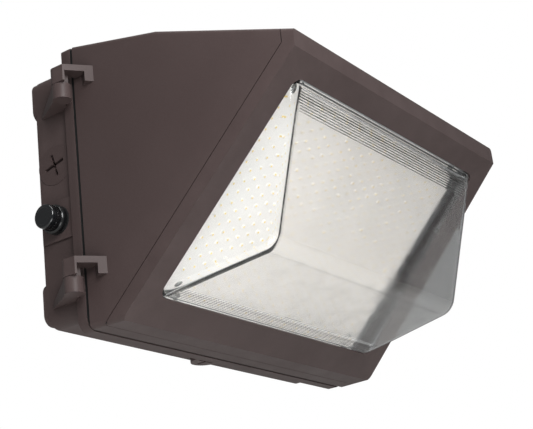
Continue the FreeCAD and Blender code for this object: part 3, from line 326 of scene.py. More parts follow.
@dataclass(frozen=True)
class Finish(Surface):
    """An opaque surface, with a bump and constants of the shader."""

    bump: float = 0.1
    bump_distance: float = 0.0002
    shader: tuple[tuple[str, float], ...] = ()

    @cache
    def material(self) -> Material:
        """Build the finish's material at its first use.

        Returns:
            The material.
        """
        made, group, surface = self.start()
        for name, value in self.shader:
            surface.inputs[name].default_value = value
        links = made.node_tree.links
        bump = made.node_tree.nodes.new("ShaderNodeBump")
        bump.inputs["Strength"].default_value = self.bump
        bump.inputs["Distance"].default_value = self.bump_distance
        links.new(group.outputs["Height"], bump.inputs["Height"])
        links.new(bump.outputs["Normal"], surface.inputs["Normal"])
        return made

    def dress(self, piece: Object) -> Object:
        """Put the material in every slot of a piece.

        Args:
            piece: The piece, which gets a slot if it has none.

        Returns:
            The same piece.
        """
        if not piece.material_slots:
            piece.data.materials.append(self.material())
        for place in piece.material_slots:
            place.link = "OBJECT"
            place.material = self.material()
        return piece


@dataclass(frozen=True)
class ClearPlastic(Surface):
    """A wall of the lens: clear plastic with a trace of haze, and no shadow of its own."""

    index: float = 1.49

    def material(self) -> Material:
        """Build the material.

        Returns:
            The material.
        """
        made, _, surface = self.start()
        nodes, links = made.node_tree.nodes, made.node_tree.links
        surface.inputs["Transmission Weight"].default_value = 1.0
        surface.inputs["IOR"].default_value = self.index
        path = nodes.new("ShaderNodeLightPath")
        solid = nodes.new("ShaderNodeMath")
        solid.operation = "SUBTRACT"
        solid.inputs[0].default_value = 1.0
        links.new(path.outputs["Is Shadow Ray"], solid.inputs[1])
        links.new(solid.outputs[0], surface.inputs["Alpha"])
        return made


BRONZE = Finish("bronze_coat", coat_group, srgb(64, 53, 52), srgb(86, 74, 73), grain=1500.0,
                roughness=0.46, bump=0.25, bump_distance=0.00012,
                shader=(("Specular IOR Level", 0.22),))
RUBBER = Finish("seal_rubber", grain_group, srgb(22, 24, 24), srgb(31, 33, 33), grain=1200.0,
                roughness=0.7, bump=0.3, shader=(("Specular IOR Level", 0.2),))
BLACK_PLASTIC = Finish("cell_black", grain_group, srgb(13, 14, 15), srgb(19, 20, 21),
                       grain=1600.0, roughness=0.22, variation=0.05)
SMOKE = Finish("cell_smoke", grain_group, srgb(12, 14, 16), srgb(18, 21, 23), grain=300.0,
               roughness=0.12, variation=0.03, bump=0.02,
               shader=(("Coat Weight", 0.3), ("Coat Roughness", 0.05)))
DARK_STEEL = Finish("dark_steel", metal_group, srgb(64, 58, 57), srgb(48, 43, 43), grain=900.0,
                    roughness=0.38, bump=0.06, shader=(("Metallic", 0.6),))
ZINC = Finish("screw_steel", metal_group, srgb(186, 187, 184), srgb(150, 150, 148), grain=900.0,
              roughness=0.3, bump=0.06, shader=(("Metallic", 1.0),))
SHEET_METAL = Finish("plate_metal", metal_group, srgb(206, 208, 210), srgb(180, 182, 185),
                     grain=400.0, roughness=0.35, bump=0.08, shader=(("Metallic", 0.9),))
ENAMEL = Finish("driver_shell", grain_group, srgb(222, 223, 222), srgb(206, 208, 208),
                grain=1400.0, roughness=0.4, bump=0.15)
BOARD_WHITE = Finish("board_white", grain_group, srgb(254, 250, 245), srgb(251, 246, 240),
                     grain=1400.0, roughness=0.45, bump=0.08)
PHOSPHOR = Finish("chip_phosphor", grain_group, srgb(252, 228, 150), srgb(247, 218, 132),
                  grain=2500.0, roughness=0.4)
MOULDING = Finish("block_plastic", grain_group, srgb(58, 60, 64), srgb(70, 72, 76), grain=900.0,
                  roughness=0.5, bump=0.2)
STUDIO = Finish("studio_floor", grain_group, srgb(248, 248, 246), srgb(243, 243, 241),
                grain=40.0, roughness=0.8, variation=0.04, bump=0.0)
CLEAR_WALL = ClearPlastic("clear_lens", grain_group, srgb(247, 249, 250), srgb(243, 246, 248),
                          grain=300.0, roughness=0.02, variation=0.01)
PRISM_WALL = ClearPlastic("prism_lens", grain_group, srgb(228, 226, 225), srgb(221, 220, 219),
                          grain=300.0, roughness=0.12, variation=0.06)

CAD_FINISHES = {
    BRONZE: ("back_box", "front_housing", "front_frame", "plug_left", "plug_right",
             "plug_bottom"),
    RUBBER: ("box_gasket", "frame_gasket", "lens_gasket", "rear_grommet", "photocell_seal"),
    BLACK_PLASTIC: ("photocell_collar", "photocell_body", "photocell_nut"),
    SMOKE: ("photocell_cap",),
    ZINC: ("hinge_pin_upper", "hinge_pin_lower", "terminal_screws", "ground_screw",
           "lens_clip_screws", "carrier_screws", "board_screws", "driver_screws",
           "frame_screws"),
    DARK_STEEL: ("door_screw_upper", "door_screw_lower"),
    SHEET_METAL: ("lens_clips", "carrier_plate"),
    MOULDING: ("terminal_block",),
    ENAMEL: ("driver_case", "driver_lid"),
    BOARD_WHITE: ("led_board",),
    PHOSPHOR: ("led_chips",),
}


# ---- meshes


@dataclass(frozen=True)
class SlantedFace:
    """The frame of the slanted face: X right, Y up along it, Z out of it."""

    angle: float = math.radians(44.5)
    reach: float = 0.16265
    height: float = -0.03343

    def matrix(self) -> Matrix:
        """The transform from the face's frame to the row frame."""
        turn = Matrix.Rotation(math.pi - self.angle, 4, "X")
        return Matrix.Translation((0.0, -self.reach, self.height)) @ turn


FACE = SlantedFace()


def linked(name: str, data: ID) -> Object:
    """Make an object and link it to the scene.

    Args:
        name: Name of the object.
        data: Its mesh, light or camera.

    Returns:
        The new object, at the origin.
    """
    made = bpy.data.objects.new(name, data)
    bpy.context.scene.collection.objects.link(made)
    return made


def mesh_object(name: str, vertices: np.ndarray, faces: list[list[int]]) -> Object:
    """Make a smooth mesh from points in the row frame.

    Args:
        name: Name of the piece.
        vertices: Array of points, one row each.
        faces: Lists of point numbers.

    Returns:
        The new object.
    """
    data = bpy.data.meshes.new(name)
    data.from_pydata([tuple(map(float, point)) for point in vertices], [], faces)
    data.validate()
    data.update()
    data.shade_smooth()
    return linked(name, data)


def weld(piece: Object, distance: float = WELD_DISTANCE) -> None:
    """Join a piece's doubled points and turn its faces outward.

    Args:
        piece: The piece.
        distance: Points closer than this are one.
    """
    work = bmesh.new()
    work.from_mesh(piece.data)
    bmesh.ops.remove_doubles(work, verts=work.verts, dist=distance)
    bmesh.ops.recalc_face_normals(work, faces=work.faces)
    work.to_mesh(piece.data)
    work.free()


def revolved(name: str, profile: list[Point], matrix: Matrix = ORIGIN, segments: int = 64,
             ring: bool = False) -> Object:
    """Turn a profile about the local Z axis.

    Args:
        name: Name of the piece.
        profile: Pairs of radius and height.
        matrix: From the piece's own frame to the row frame.
        segments: Faces around.
        ring: True where the profile closes on itself.

    Returns:
        The closed piece.
    """
    turns = np.linspace(0.0, 2 * math.pi, segments, endpoint=False)
    points = [(radius * math.cos(turn), radius * math.sin(turn), height)
              for radius, height in profile for turn in turns]
    rows = len(profile) if ring else len(profile) - 1
    faces = []
    for row in range(rows):
        after = (row + 1) % len(profile)
        for step in range(segments):
            other = (step + 1) % segments
            faces.append([row * segments + step, row * segments + other,
                          after * segments + other, after * segments + step])
    piece = mesh_object(name, np.array(points), faces)
    weld(piece)
    piece.data.transform(matrix)
    piece.data.set_sharp_from_angle(angle=SHARP_ANGLE)
    return piece


def block(name: str, low: Triple, high: Triple, matrix: Matrix = ORIGIN,
          bevel: float = 0.0) -> Object:
    """A box between two corners of its own frame, with its edges broken.

    Args:
        name: Name of the piece.
        low: Lowest corner.
        high: Highest corner.
        matrix: From the piece's own frame to the row frame.
        bevel: Width of the bevel on every edge.

    Returns:
        The box.
    """
    work = bmesh.new()
    bmesh.ops.create_cube(work, size=1.0)
    for vertex in work.verts:
        shares = [coordinate + 0.5 for coordinate in vertex.co]
        vertex.co = [start + (end - start) * share
                     for start, end, share in zip(low, high, shares)]
    if bevel:
        bmesh.ops.bevel(work, geom=work.edges[:], offset=bevel, segments=1, affect="EDGES")
    work.transform(matrix)
    data = bpy.data.meshes.new(name)
    work.to_mesh(data)
    work.free()
    return linked(name, data)


def settle(piece: Object) -> None:
    """Turn a piece's modifiers into plain mesh.

    Args:
        piece: The piece.
    """
    bpy.context.view_layer.update()
    graph = bpy.context.evaluated_depsgraph_get()
    data = bpy.data.meshes.new_from_object(piece.evaluated_get(graph), depsgraph=graph)
    piece.modifiers.clear()
    piece.data = data


def cut_cross(piece: Object, matrix: Matrix, length: float, width: float,
              span: Point) -> None:
    """Cut a cross slot into a piece.

    Args:
        piece: The piece.
        matrix: From the cross's own frame, whose Z is the slot's depth, to the row frame.
        length: Length of each arm from end to end.
        width: Width of each arm.
        span: Lowest and highest height of the cutters.
    """
    cutters = []
    for half_x, half_y in ((length / 2, width / 2), (width / 2, length / 2)):
        low, high = (-half_x, -half_y, span[0]), (half_x, half_y, span[1])
        cutters.append(block("cutter", low, high, matrix))
        step = piece.modifiers.new("slot", "BOOLEAN")
        step.operation = "DIFFERENCE"
        step.solver = "EXACT"
        step.object = cutters[-1]
    settle(piece)
    for cutter in cutters:
        bpy.data.objects.remove(cutter)


class Pattern(Tree):
    """A Geometry Nodes tree with named inputs, run once into a plain mesh."""

    def __init__(self, name: str, unit: Object) -> None:
        """Start a tree that takes and gives geometry.

        Args:
            name: Name of the tree.
            unit: The object that it copies, which is removed after the run.
        """
        super().__init__(name, "GeometryNodeTree")
        self.unit = unit
        self.values: dict[str, object] = {}
        for way in ("INPUT", "OUTPUT"):
            self.declare("Geometry", way, "Geometry")

    def add_input(self, name: str, kind: str, value: object) -> NodeSocket:
        """Declare a named input, which the modifier sets to a value, and give its inner socket."""
        self.values[self.declare(name, "INPUT", kind).identifier] = value
        return self.source.outputs[name]

    def place(self, points: NodeSocket, turn: NodeSocket | None = None) -> None:
        """Put a copy of the unit on every point and end the tree.

        Args:
            points: Geometry with the points.
            turn: Rotation of every copy, or None for none.
        """
        copied = self.node("GeometryNodeObjectInfo", {
            "Object": self.add_input("Unit", "Object", self.unit)})
        placed = self.node("GeometryNodeInstanceOnPoints", {
            "Points": points, "Instance": copied.outputs["Geometry"]})
        if turn is not None:
            self.tree.links.new(turn, placed.inputs["Rotation"])
        real = self.node("GeometryNodeRealizeInstances", {
            "Geometry": placed.outputs["Instances"]})
        dressed = self.node("GeometryNodeSetMaterial", {
            "Geometry": real.outputs["Geometry"],
            "Material": self.add_input("Material", "Material", None)})
        self.tree.links.new(dressed.outputs["Geometry"], self.sink.inputs["Geometry"])

    def run(self, name: str, finish: Finish, matrix: Matrix,
            points: np.ndarray | None = None) -> Object:
        """Run the tree and keep its result.

        Args:
            name: Name of the piece.
            finish: What the piece is made of.
            matrix: From the tree's frame to the row frame.
            points: Points that the tree starts from, if it needs any.

        Returns:
            The piece as plain mesh.
        """
        piece = mesh_object(name, np.zeros((0, 3)) if points is None else points, [])
        made = piece.modifiers.new("pattern", "NODES")
        made.node_group = self.tree
        for identifier, value in self.values.items():
            made[identifier] = finish.material() if value is None else value
        settle(piece)
        piece.data.transform(matrix)
        piece.data.set_sharp_from_angle(angle=SHARP_ANGLE)
        bpy.data.objects.remove(self.unit)
        return finish.dress(piece)


# ---- the light board


@dataclass
class LightBoard:
    """The chips of the LED board, in staggered columns, and the screws that hold it."""

    front: float = -0.0140
    columns: int = 28
    rows: int = 18
    pitch: float = 0.0095
    keep_off: float = 0.0071
    package: Triple = (0.0035, 0.0028, 0.0006)
    package_bevel: float = 0.00025
    dome_radius: float = 0.00105
    dome_top: float = 0.8
    dome_rise: float = 0.0001
    dome_segments: int = 10
    screw_x: float = 0.124
    screw_y: float = 0.0865
    # Radius and height of the shank's corners, then the same for the head as shares.
    shank: tuple[Point, ...] = ((0.0, -0.0046), (0.0014, -0.0046), (0.002, -0.004), (0.002, 0.0))
    head: tuple[Point, ...] = ((1.0, 0.0), (1.0, 0.45), (0.9, 0.78), (0.68, 0.95), (0.4, 1.0),
                               (0.0, 1.0))
    head_radius: float = 0.0036
    head_height: float = 0.0022
    head_segments: int = 32
    # The slot's length is a share of the head's radius, its floor one of the head's height.
    slot_length: float = 1.2
    slot_floor: float = 0.4
    slot_width: float = 0.0009
    most_turn: float = 1.5
    seed: int = 7

    def seat(self) -> Matrix:
        """From a frame on the board's front to the row frame."""
        return FACE.matrix() @ Matrix.Translation((0.0, 0.0, self.front))

    def lattice(self, unit: Object) -> Pattern:
        """The tree that lays out the chips: every other column moved by half a pitch.

        Args:
            unit: One chip's part at the origin.

        Returns:
            The tree.
        """
        tree = Pattern("ChipLattice", unit)
        pitch, columns, rows, screw_x, screw_y, keep_off = [
            tree.add_input(name, kind, value) for name, kind, value in (
                ("Pitch", "Float", self.pitch), ("Columns", "Int", self.columns),
                ("Rows", "Int", self.rows), ("Screw X", "Float", self.screw_x),
                ("Screw Y", "Float", self.screw_y), ("Keep Off", "Float", self.keep_off))]
        grid = tree.node("GeometryNodeMeshGrid", {
            "Size X": tree.math("MULTIPLY", tree.math("SUBTRACT", columns, 1.0), pitch),
            "Size Y": tree.math("MULTIPLY", tree.math("SUBTRACT", rows, 1.0), pitch),
            "Vertices X": columns, "Vertices Y": rows})
        index = tree.node("GeometryNodeInputIndex", {}).outputs[0]
        column = tree.math("FLOOR", tree.math("DIVIDE", tree.math("ADD", index, 0.5), rows))
        half_odd = tree.math("MULTIPLY", tree.math("MODULO", column, 2.0), 0.5)
        shift = tree.math("MULTIPLY", tree.math("SUBTRACT", half_odd, 0.25), pitch)
        offset = tree.node("ShaderNodeCombineXYZ", {"Y": shift})
        moved = tree.node("GeometryNodeSetPosition", {
            "Geometry": grid.outputs["Mesh"], "Offset": offset.outputs[0]})
        here = tree.node("ShaderNodeSeparateXYZ", {
            0: tree.node("GeometryNodeInputPosition", {}).outputs[0]})
        gaps = [tree.math("SUBTRACT", tree.math("ABSOLUTE", here.outputs[axis]), screw)
                for axis, screw in ((0, screw_x), (1, screw_y))]
        squares = [tree.math("MULTIPLY", gap, gap) for gap in gaps]
        from_screw = tree.math("SQRT", tree.math("ADD", *squares))
        kept = tree.node("GeometryNodeDeleteGeometry", {
            "Geometry": moved.outputs["Geometry"],
            "Selection": tree.math("LESS_THAN", from_screw, keep_off)}, domain="POINT")
        tree.place(kept.outputs["Geometry"])
        return tree

    def chips(self) -> list[Object]:
        """The white packages and the yellow domes on them.

        Returns:
            Both pieces.
        """
        length, width, height = self.package
        package = block("unit_package", (-length / 2, -width / 2, 0.0),
                        (length / 2, width / 2, height), bevel=self.package_bevel)
        radius, low, high = self.dome_radius, height - self.dome_rise, height + self.dome_rise
        dome = revolved("unit_dome", [(0.0, low), (radius, low), (radius * self.dome_top, high),
                                      (0.0, high)], segments=self.dome_segments)
        return [self.lattice(package).run("chip_packages", BOARD_WHITE, self.seat()),
                self.lattice(dome).run("chip_domes", PHOSPHOR, self.seat())]

    def screws(self) -> Object:
        """Four pan-head screws with cross slots, each turned by chance.

        Returns:
            The screws.
        """
        radius, height = self.head_radius, self.head_height
        head = [(radius * wide, height * high) for wide, high in self.head]
        unit = revolved("unit_screw", [*self.shank, *head], segments=self.head_segments)
        cut_cross(unit, ORIGIN, radius * self.slot_length, self.slot_width,
                  (height * self.slot_floor, height * 2))
        tree = Pattern("ScrewPlaces", unit)
        # Input 3 is the highest number, and output 1 the number drawn.
        chance = tree.node("FunctionNodeRandomValue", {
            3: tree.add_input("Most Turn", "Float", self.most_turn), "Seed": self.seed},
            data_type="FLOAT")
        turn = tree.node("ShaderNodeCombineXYZ", {"Z": chance.outputs[1]})
        tree.place(tree.source.outputs["Geometry"], turn.outputs[0])
        places = np.array([(x, y, 0.0) for x in (-self.screw_x, self.screw_x)
                           for y in (-self.screw_y, self.screw_y)])
        return tree.run("board_pan_screws", ZINC, self.seat(), places)


# ---- fittings in the side walls


def side_frame(side: float, reach: float, height: float) -> Matrix:
    """From a frame in a side wall, -1 or 1, with Z out of the wall, to the row frame."""
    turn = Matrix.Rotation(side * math.pi / 2, 4, "Y")
    return Matrix.Translation((0.0, -reach, height)) @ turn


@dataclass
class EntryPlug:
    """A threaded entry plug with a thin flange and a cross slot, at the left or right."""

    side: float
    reach: float = 0.020
    height: float = 0.024
    start: float = 0.167
    wall: float = 0.177
    thread_radius: float = 0.0134
    thread_chamfer: float = 0.0008
    flange_radius: float = 0.0166
    flange_inset: float = 0.0005
    flange_corner: float = 0.0002
    flange_slope: float = 0.0009
    proud: float = 0.0005
    slot_turn: float = math.radians(15.0)
    slot_length: float = 0.0195
    slot_width: float = 0.0026
    slot_depth: float = 0.0045
    sharp_angle: float = math.radians(25.0)

    def build(self) -> Object:
        """Make the plug.

        Returns:
            The plug.
        """
        name = "entry_plug_left" if self.side < 0 else "entry_plug_right"
        frame = side_frame(self.side, self.reach, self.height)
        outside = self.wall + self.proud
        thread, chamfer, flange = self.thread_radius, self.thread_chamfer, self.flange_radius
        piece = revolved(name, [
            (0.0, self.start), (thread - chamfer, self.start), (thread, self.start + chamfer),
            (thread, self.wall), (flange - self.flange_inset, self.wall),
            (flange, self.wall + self.flange_corner), (flange - self.flange_corner, outside),
            (flange - self.flange_slope, outside), (0.0, outside)], frame)
        slot = frame @ Matrix.Rotation(self.slot_turn, 4, "Z")
        cut_cross(piece, slot, self.slot_length, self.slot_width,
                  (outside - self.slot_depth, outside + CUTTER_PAST))
        piece.data.set_sharp_from_angle(angle=self.sharp_angle)
        return BRONZE.dress(piece)


@dataclass
class Photocell:
    """The sensor on the left wall: glossy cap, toothed neck and stepped collar."""

    reach: float = 0.0212
    drop: float = 0.0235
    seat: float = 0.180
    neck: float = 0.1855
    cap_start: float = 0.190
    cap_end: float = 0.195
    cap_radius: float = 0.0098
    cap_foot: float = 0.0006
    cap_round: float = 0.002
    cap_round_points: int = 7
    dish_edge: float = 0.0026
    dish_floor: float = 0.003
    dish_depth: float = 0.0003
    stem_radius: float = 0.0079
    collar_radius: float = 0.0116
    # How far each corner of the collar lies in from its radius, and out from its seat.
    collar_steps: tuple[Point, ...] = ((0.0, 0.0), (0.0, 0.0013), (0.0009, 0.0016),
                                       (0.0009, 0.0022), (0.0, 0.0025), (0.0, 0.0038),
                                       (0.0009, 0.0043), (0.0014, 0.005))
    teeth: int = 30
    tooth_low: Triple = (-0.0004, -0.0004, -0.0015)
    tooth_high: Triple = (0.0005, 0.0004, 0.0015)
    tooth_bevel: float = 0.0002

    def frame(self) -> Matrix:
        """From the sensor's own frame to the row frame."""
        return side_frame(-1.0, self.reach, -self.drop)

    def cap(self) -> Object:
        """The glossy cap with a rounded rim and a shallow dish.

        Returns:
            The cap.
        """
        radius, start, end, bend = self.cap_radius, self.cap_start, self.cap_end, self.cap_round
        rim = [(radius - bend * (1 - math.cos(turn)), end - bend * (1 - math.sin(turn)))
               for turn in np.linspace(0.0, math.pi / 2, self.cap_round_points)]
        dish = end - self.dish_depth
        return SMOKE.dress(revolved("cell_cap_gloss", [
            (0.0, start), (radius - self.cap_foot, start), (radius, start + self.cap_foot), *rim,
            (radius - self.dish_edge, end), (radius - self.dish_floor, dish), (0.0, dish)],
            self.frame()))

    def collar(self) -> Object:
        """The stepped collar nut.

        Returns:
            The collar.
        """
        steps = [(self.collar_radius - inset, self.seat + rise)
                 for inset, rise in self.collar_steps]
        return BLACK_PLASTIC.dress(revolved("cell_collar_steps", [
            (self.stem_radius, self.seat), *steps, (steps[-1][0], self.neck),
            (self.stem_radius, self.neck)], self.frame(), ring=True))

    def knurl(self) -> Object:
        """The teeth around the neck.

        Returns:
            The teeth.
        """
        tooth = block("unit_tooth", self.tooth_low, self.tooth_high, bevel=self.tooth_bevel)
        tree = Pattern("ToothRing", tooth)
        count = tree.add_input("Teeth", "Int", self.teeth)
        circle = tree.node("GeometryNodeMeshCircle", {
            "Vertices": count, "Radius": tree.add_input("Radius", "Float", self.cap_radius)})
        step = tree.math("DIVIDE", 2 * math.pi, count)
        index = tree.node("GeometryNodeInputIndex", {}).outputs[0]
        turn = tree.node("ShaderNodeCombineXYZ", {"Z": tree.math("MULTIPLY", index, step)})
        tree.place(circle.outputs["Mesh"], turn.outputs[0])
        middle = Matrix.Translation((0.0, 0.0, (self.neck + self.cap_start) / 2))
        return tree.run("cell_neck_teeth", BLACK_PLASTIC, self.frame() @ middle)


# ---- the lens


@dataclass
class DropLens:
    """The clear drop lens: a wedge with prisms inside, plain sides and a flat flange.

    Its side view lies in the frame of the slanted face, "up" along the face and "out" of it.
    """

    # Side view: each rim's distance from the middle, and the ridge's place, height and radius.
    rim: float = 0.09475
    ridge: float = -0.01495
    drop: float = 0.0585
    ridge_radius: float = 0.017
    # Side walls: half width at the middle, and what it loses for each metre up and out.
    half_width: float = 0.14928
    draft: float = 0.05238
    lean: float = 0.1334
    wall: float = 0.003
    flange: float = 0.008
    flange_front: float = -0.0042
    flange_back: float = -0.0072
    # The long edges have the side radius at the rim, and blend into the edge radius.
    side_radius: float = 0.008
    edge_radius: float = 0.0065
    least_radius: float = 0.0030
    rim_blend: float = 0.007
    # Ribs run down the lens and prisms across it. The prisms grow near the rims.
    rib_pitch: float = 0.0033
    rib_depth: float = 0.00034
    prism_pitch: float = 0.0021
    prism_depth: float = 0.00021
    rim_prism_gain: float = 4.2
    rim_prism_reach: float = 0.0072
    foot_prism_share: float = 0.5
    plain_rim: float = 0.0005
    plain_side: float = 0.02
    outer_step: float = 0.0045
    corner_steps: int = 6
    fan_steps: int = 6
    least_steps: int = 2
    least_ridge_steps: int = 8
    weld_distance: float = 2e-6
    sharp_angle: float = math.radians(30.0)

    def side_at(self, up: float, out: float) -> float:
        """Half width of the lens at a place of its side view."""
        return self.half_width - up * self.draft - out * self.lean

    def near_rim(self, out: float) -> float:
        """1 at the rim of the drop, falling to 0 away from it."""
        return math.exp(-max(out, 0.0) / self.rim_blend)

    def outline(self, inset: float, back: float) -> list[np.ndarray]:
        """Corners of the side view from the top rim over the ridge to the bottom rim.

        Args:
            inset: Distance that every wall is moved inward.
            back: Where the side view ends, out of the slanted face.

        Returns:
            Five corners as (up, out) pairs.
        """
        upper = self.drop / (self.rim - self.ridge)
        lower = self.drop / (self.rim + self.ridge)
        upper_drop = inset * math.hypot(1.0, upper)
        lower_drop = inset * math.hypot(1.0, lower)
        top = self.rim - inset
        ridge_up = (self.rim * (upper - lower) - upper_drop + lower_drop) / (upper + lower)
        corners = [(top, back), (top, (self.rim - top) * upper - upper_drop),
                   (ridge_up, (self.rim - ridge_up) * upper - upper_drop),
                   (-top, (self.rim - top) * lower - lower_drop), (-top, back)]
        return [np.array(corner) for corner in corners]

    def ridge_arc(self, corners: list[np.ndarray], radius: float, step: float) -> list[np.ndarray]:
        """Points of the rounded ridge.

        Args:
            corners: The corners of the side view.
            radius: Radius of the ridge.
            step: Distance between points.

        Returns:
            Points from the upper face to the lower face.
        """
        before = (corners[2] - corners[1]) / np.linalg.norm(corners[2] - corners[1])
        after = (corners[3] - corners[2]) / np.linalg.norm(corners[3] - corners[2])
        turn = math.acos(float(before @ after))
        start = corners[2] - before * radius * math.tan(turn / 2)
        inward = np.array([before[1], -before[0]])
        inward = inward if inward @ after > 0 else -inward
        count = max(self.least_ridge_steps, int(round(turn * radius / step)))
        return [start + radius * (before * math.sin(angle) + inward * (1 - math.cos(angle)))
                for angle in np.linspace(0.0, turn, count + 1)]

    def straight(self, first: np.ndarray, last: np.ndarray, step: float,
                 skip: int) -> list[np.ndarray]:
        """Even points between two corners, without the last (skip 0) or the first one (skip 1)."""
        count = max(self.least_steps, int(round(np.linalg.norm(last - first) / step)))
        return [first + (last - first) * number / count for number in range(skip, count + skip)]

    def profile(self, inset: float, step: float, back: float) -> tuple[np.ndarray, np.ndarray]:
        """Sample the side view, with the ridge rounded.

        Args:
            inset: Distance that every wall is moved inward.
            step: Distance between samples.
            back: Where the side view ends, out of the slanted face.

        Returns:
            Points, and unit normals pointing out of the lens.
        """
        corners = self.outline(inset, back)
        arc = self.ridge_arc(corners, self.ridge_radius - inset, step)
        line = np.array([*self.straight(corners[0], corners[1], step, 0),
                         *self.straight(corners[1], arc[0], step, 0), *arc,
                         *self.straight(arc[-1], corners[3], step, 1),
                         *self.straight(corners[3], corners[4], step, 1)])
        along = np.gradient(line, axis=0)
        along /= np.linalg.norm(along, axis=1, keepdims=True)
        return line, np.column_stack([along[:, 1], -along[:, 0]])

    def ring(self, point: np.ndarray, normal: np.ndarray, inset: float, back: float,
             pushes: np.ndarray) -> list[Triple]:
        """One row of points across the lens, with both side walls.

        Args:
            point: The row's place in the side view.
            normal: The row's normal in the side view.
            inset: Distance inward from the outer skin.
            back: Where the side walls end, out of the slanted face.
            pushes: How far each point of the face is pushed inward.

        Returns:
            Points as (x, up, out), from the left side wall to the right one.
        """
        radius = self.edge_radius + (self.side_radius - self.edge_radius) * self.near_rim(point[1])
        radius = max(radius - inset, self.least_radius)
        flat = self.side_at(*point) - inset - radius
        middle = [(share * flat, *(point - normal * push))
                  for share, push in zip(np.linspace(-1.0, 1.0, len(pushes)), pushes)]
        side = []
        for angle in np.linspace(0.0, math.pi / 2, self.corner_steps + 1)[1:]:
            place = point - normal * radius * (1 - math.cos(angle))
            side.append((self.side_at(*place) - inset - radius * (1 - math.sin(angle)), *place))
        edge = point - normal * radius
        centre = np.array([0.0, back])
        for share in np.linspace(1.0, 0.0, self.fan_steps + 1)[1:]:
            place = centre + (edge - centre) * share
            side.append((self.side_at(*place) - inset, *place))
        return [(-x, up, out) for x, up, out in side[::-1]] + middle + side

    def skin(self, inset: float, step: float, back: float, relief: bool) -> np.ndarray:
        """Build one skin of the lens, open at the back.

        Args:
            inset: Distance inward from the outer skin.
            step: Distance between rows.
            back: Where the skin ends, out of the slanted face.
            relief: True to add the ribs and prisms.

        Returns:
            Points by row and column, in the frame of the slanted face.
        """
        columns = 4 * int(self.half_width / self.rib_pitch)
        shares = np.linspace(-1.0, 1.0, columns + 1)
        ribs = (np.arange(columns + 1) % 2) * self.rib_depth
        side_fade = np.clip((1.0 - np.abs(shares)) / self.plain_side, 0.0, 1.0)
        rings = []
        for number, (point, normal) in enumerate(zip(*self.profile(inset, step, back))):
            from_rim = max(self.rim - abs(point[0]) - inset, 0.0)
            share = 1.0 if point[0] > 0 else self.foot_prism_share
            growth = share * self.rim_prism_gain * math.exp(-from_rim / self.rim_prism_reach)
            prism = (number % 2) * self.prism_depth * (1.0 + growth)
            fade = side_fade if relief and from_rim > self.plain_rim else side_fade * 0.0
            rings.append(self.ring(point, normal, inset, back, fade * (ribs + prism)))
        grid = np.array(rings)
        grid[:, :, 2] = np.maximum(grid[:, :, 2], back)
        return grid

    def flange_strips(self, outer: np.ndarray, inner: np.ndarray) -> list[np.ndarray]:
        """The flange as two strips, from the outer skin's rim round its edge to the inner one's.

        Args:
            outer: Points of the outer skin.
            inner: Points of the inner skin.

        Returns:
            The strips as grids of four rows.
        """
        strips = []
        for row, turn in ((0, 1.0), (-1, -1.0)):
            rim = outer[row]
            along = np.gradient(rim[:, :2], axis=0)
            along /= np.linalg.norm(along, axis=1, keepdims=True)
            edge = rim.copy()
            edge[:, :2] += np.column_stack([-along[:, 1], along[:, 0]]) * self.flange * turn
            under = edge.copy()
            under[:, 2] = self.flange_back
            strips.append(np.array([rim, edge, under, inner[row]]))
        return strips

    def build(self) -> Object:
        """Make the lens as one closed skin, with its plain and its ribbed walls dressed.

        Returns:
            The lens.
        """
        outer = self.skin(0.0, self.outer_step, self.flange_front, False)
        inner = self.skin(self.wall, self.prism_pitch / 2, self.flange_back, True)
        plain = self.corner_steps + self.fan_steps
        points, faces, ribbed, shift = [], [], [], 0
        for grid in [outer, inner, *self.flange_strips(outer, inner)]:
            rows, width = grid.shape[:2]
            points.append(grid.reshape(-1, 3))
            for row in range(rows - 1):
                for col in range(width - 1):
                    corner = shift + row * width + col
                    faces.append([corner, corner + 1, corner + width + 1, corner + width])
                    ribbed.append(int(grid is inner and plain <= col < width - 1 - plain))
            shift += rows * width
        piece = mesh_object("drop_lens", np.vstack(points), faces)
        piece.data.polygons.foreach_set("material_index", ribbed)
        weld(piece, self.weld_distance)
        piece.data.transform(FACE.matrix())
        piece.data.set_sharp_from_angle(angle=self.sharp_angle)
        for wall in (CLEAR_WALL, PRISM_WALL):
            piece.data.materials.append(wall.material())
        return piece


# ---- the studio


@dataclass(frozen=True)
class Lamp:
    """A square soft light."""

    name: str
    place: Triple
    size: float
    power: float

    def build(self, target: Triple) -> None:
        """Add the light.

        Args:
            target: What it points at.
        """
        data = bpy.data.lights.new(self.name, "AREA")
        data.shape = "SQUARE"
        data.size = self.size
        data.energy = self.power
        made = linked(self.name, data)
        aim = Vector(target) - Vector(self.place)
        made.rotation_mode = "QUATERNION"
        made.rotation_quaternion = aim.to_track_quat("-Z", "Y")
        made.location = self.place


LAMPS = (
    Lamp("key", (-0.62, -0.75, 0.32), size=0.45, power=8.0),
    Lamp("under", (-0.45, -0.5, -0.6), size=0.55, power=3.6),
    Lamp("top", (0.0, -0.6, 1.5), size=1.2, power=21.0),
    Lamp("front", (0.9, -1.6, 0.1), size=1.2, power=0.8),
)


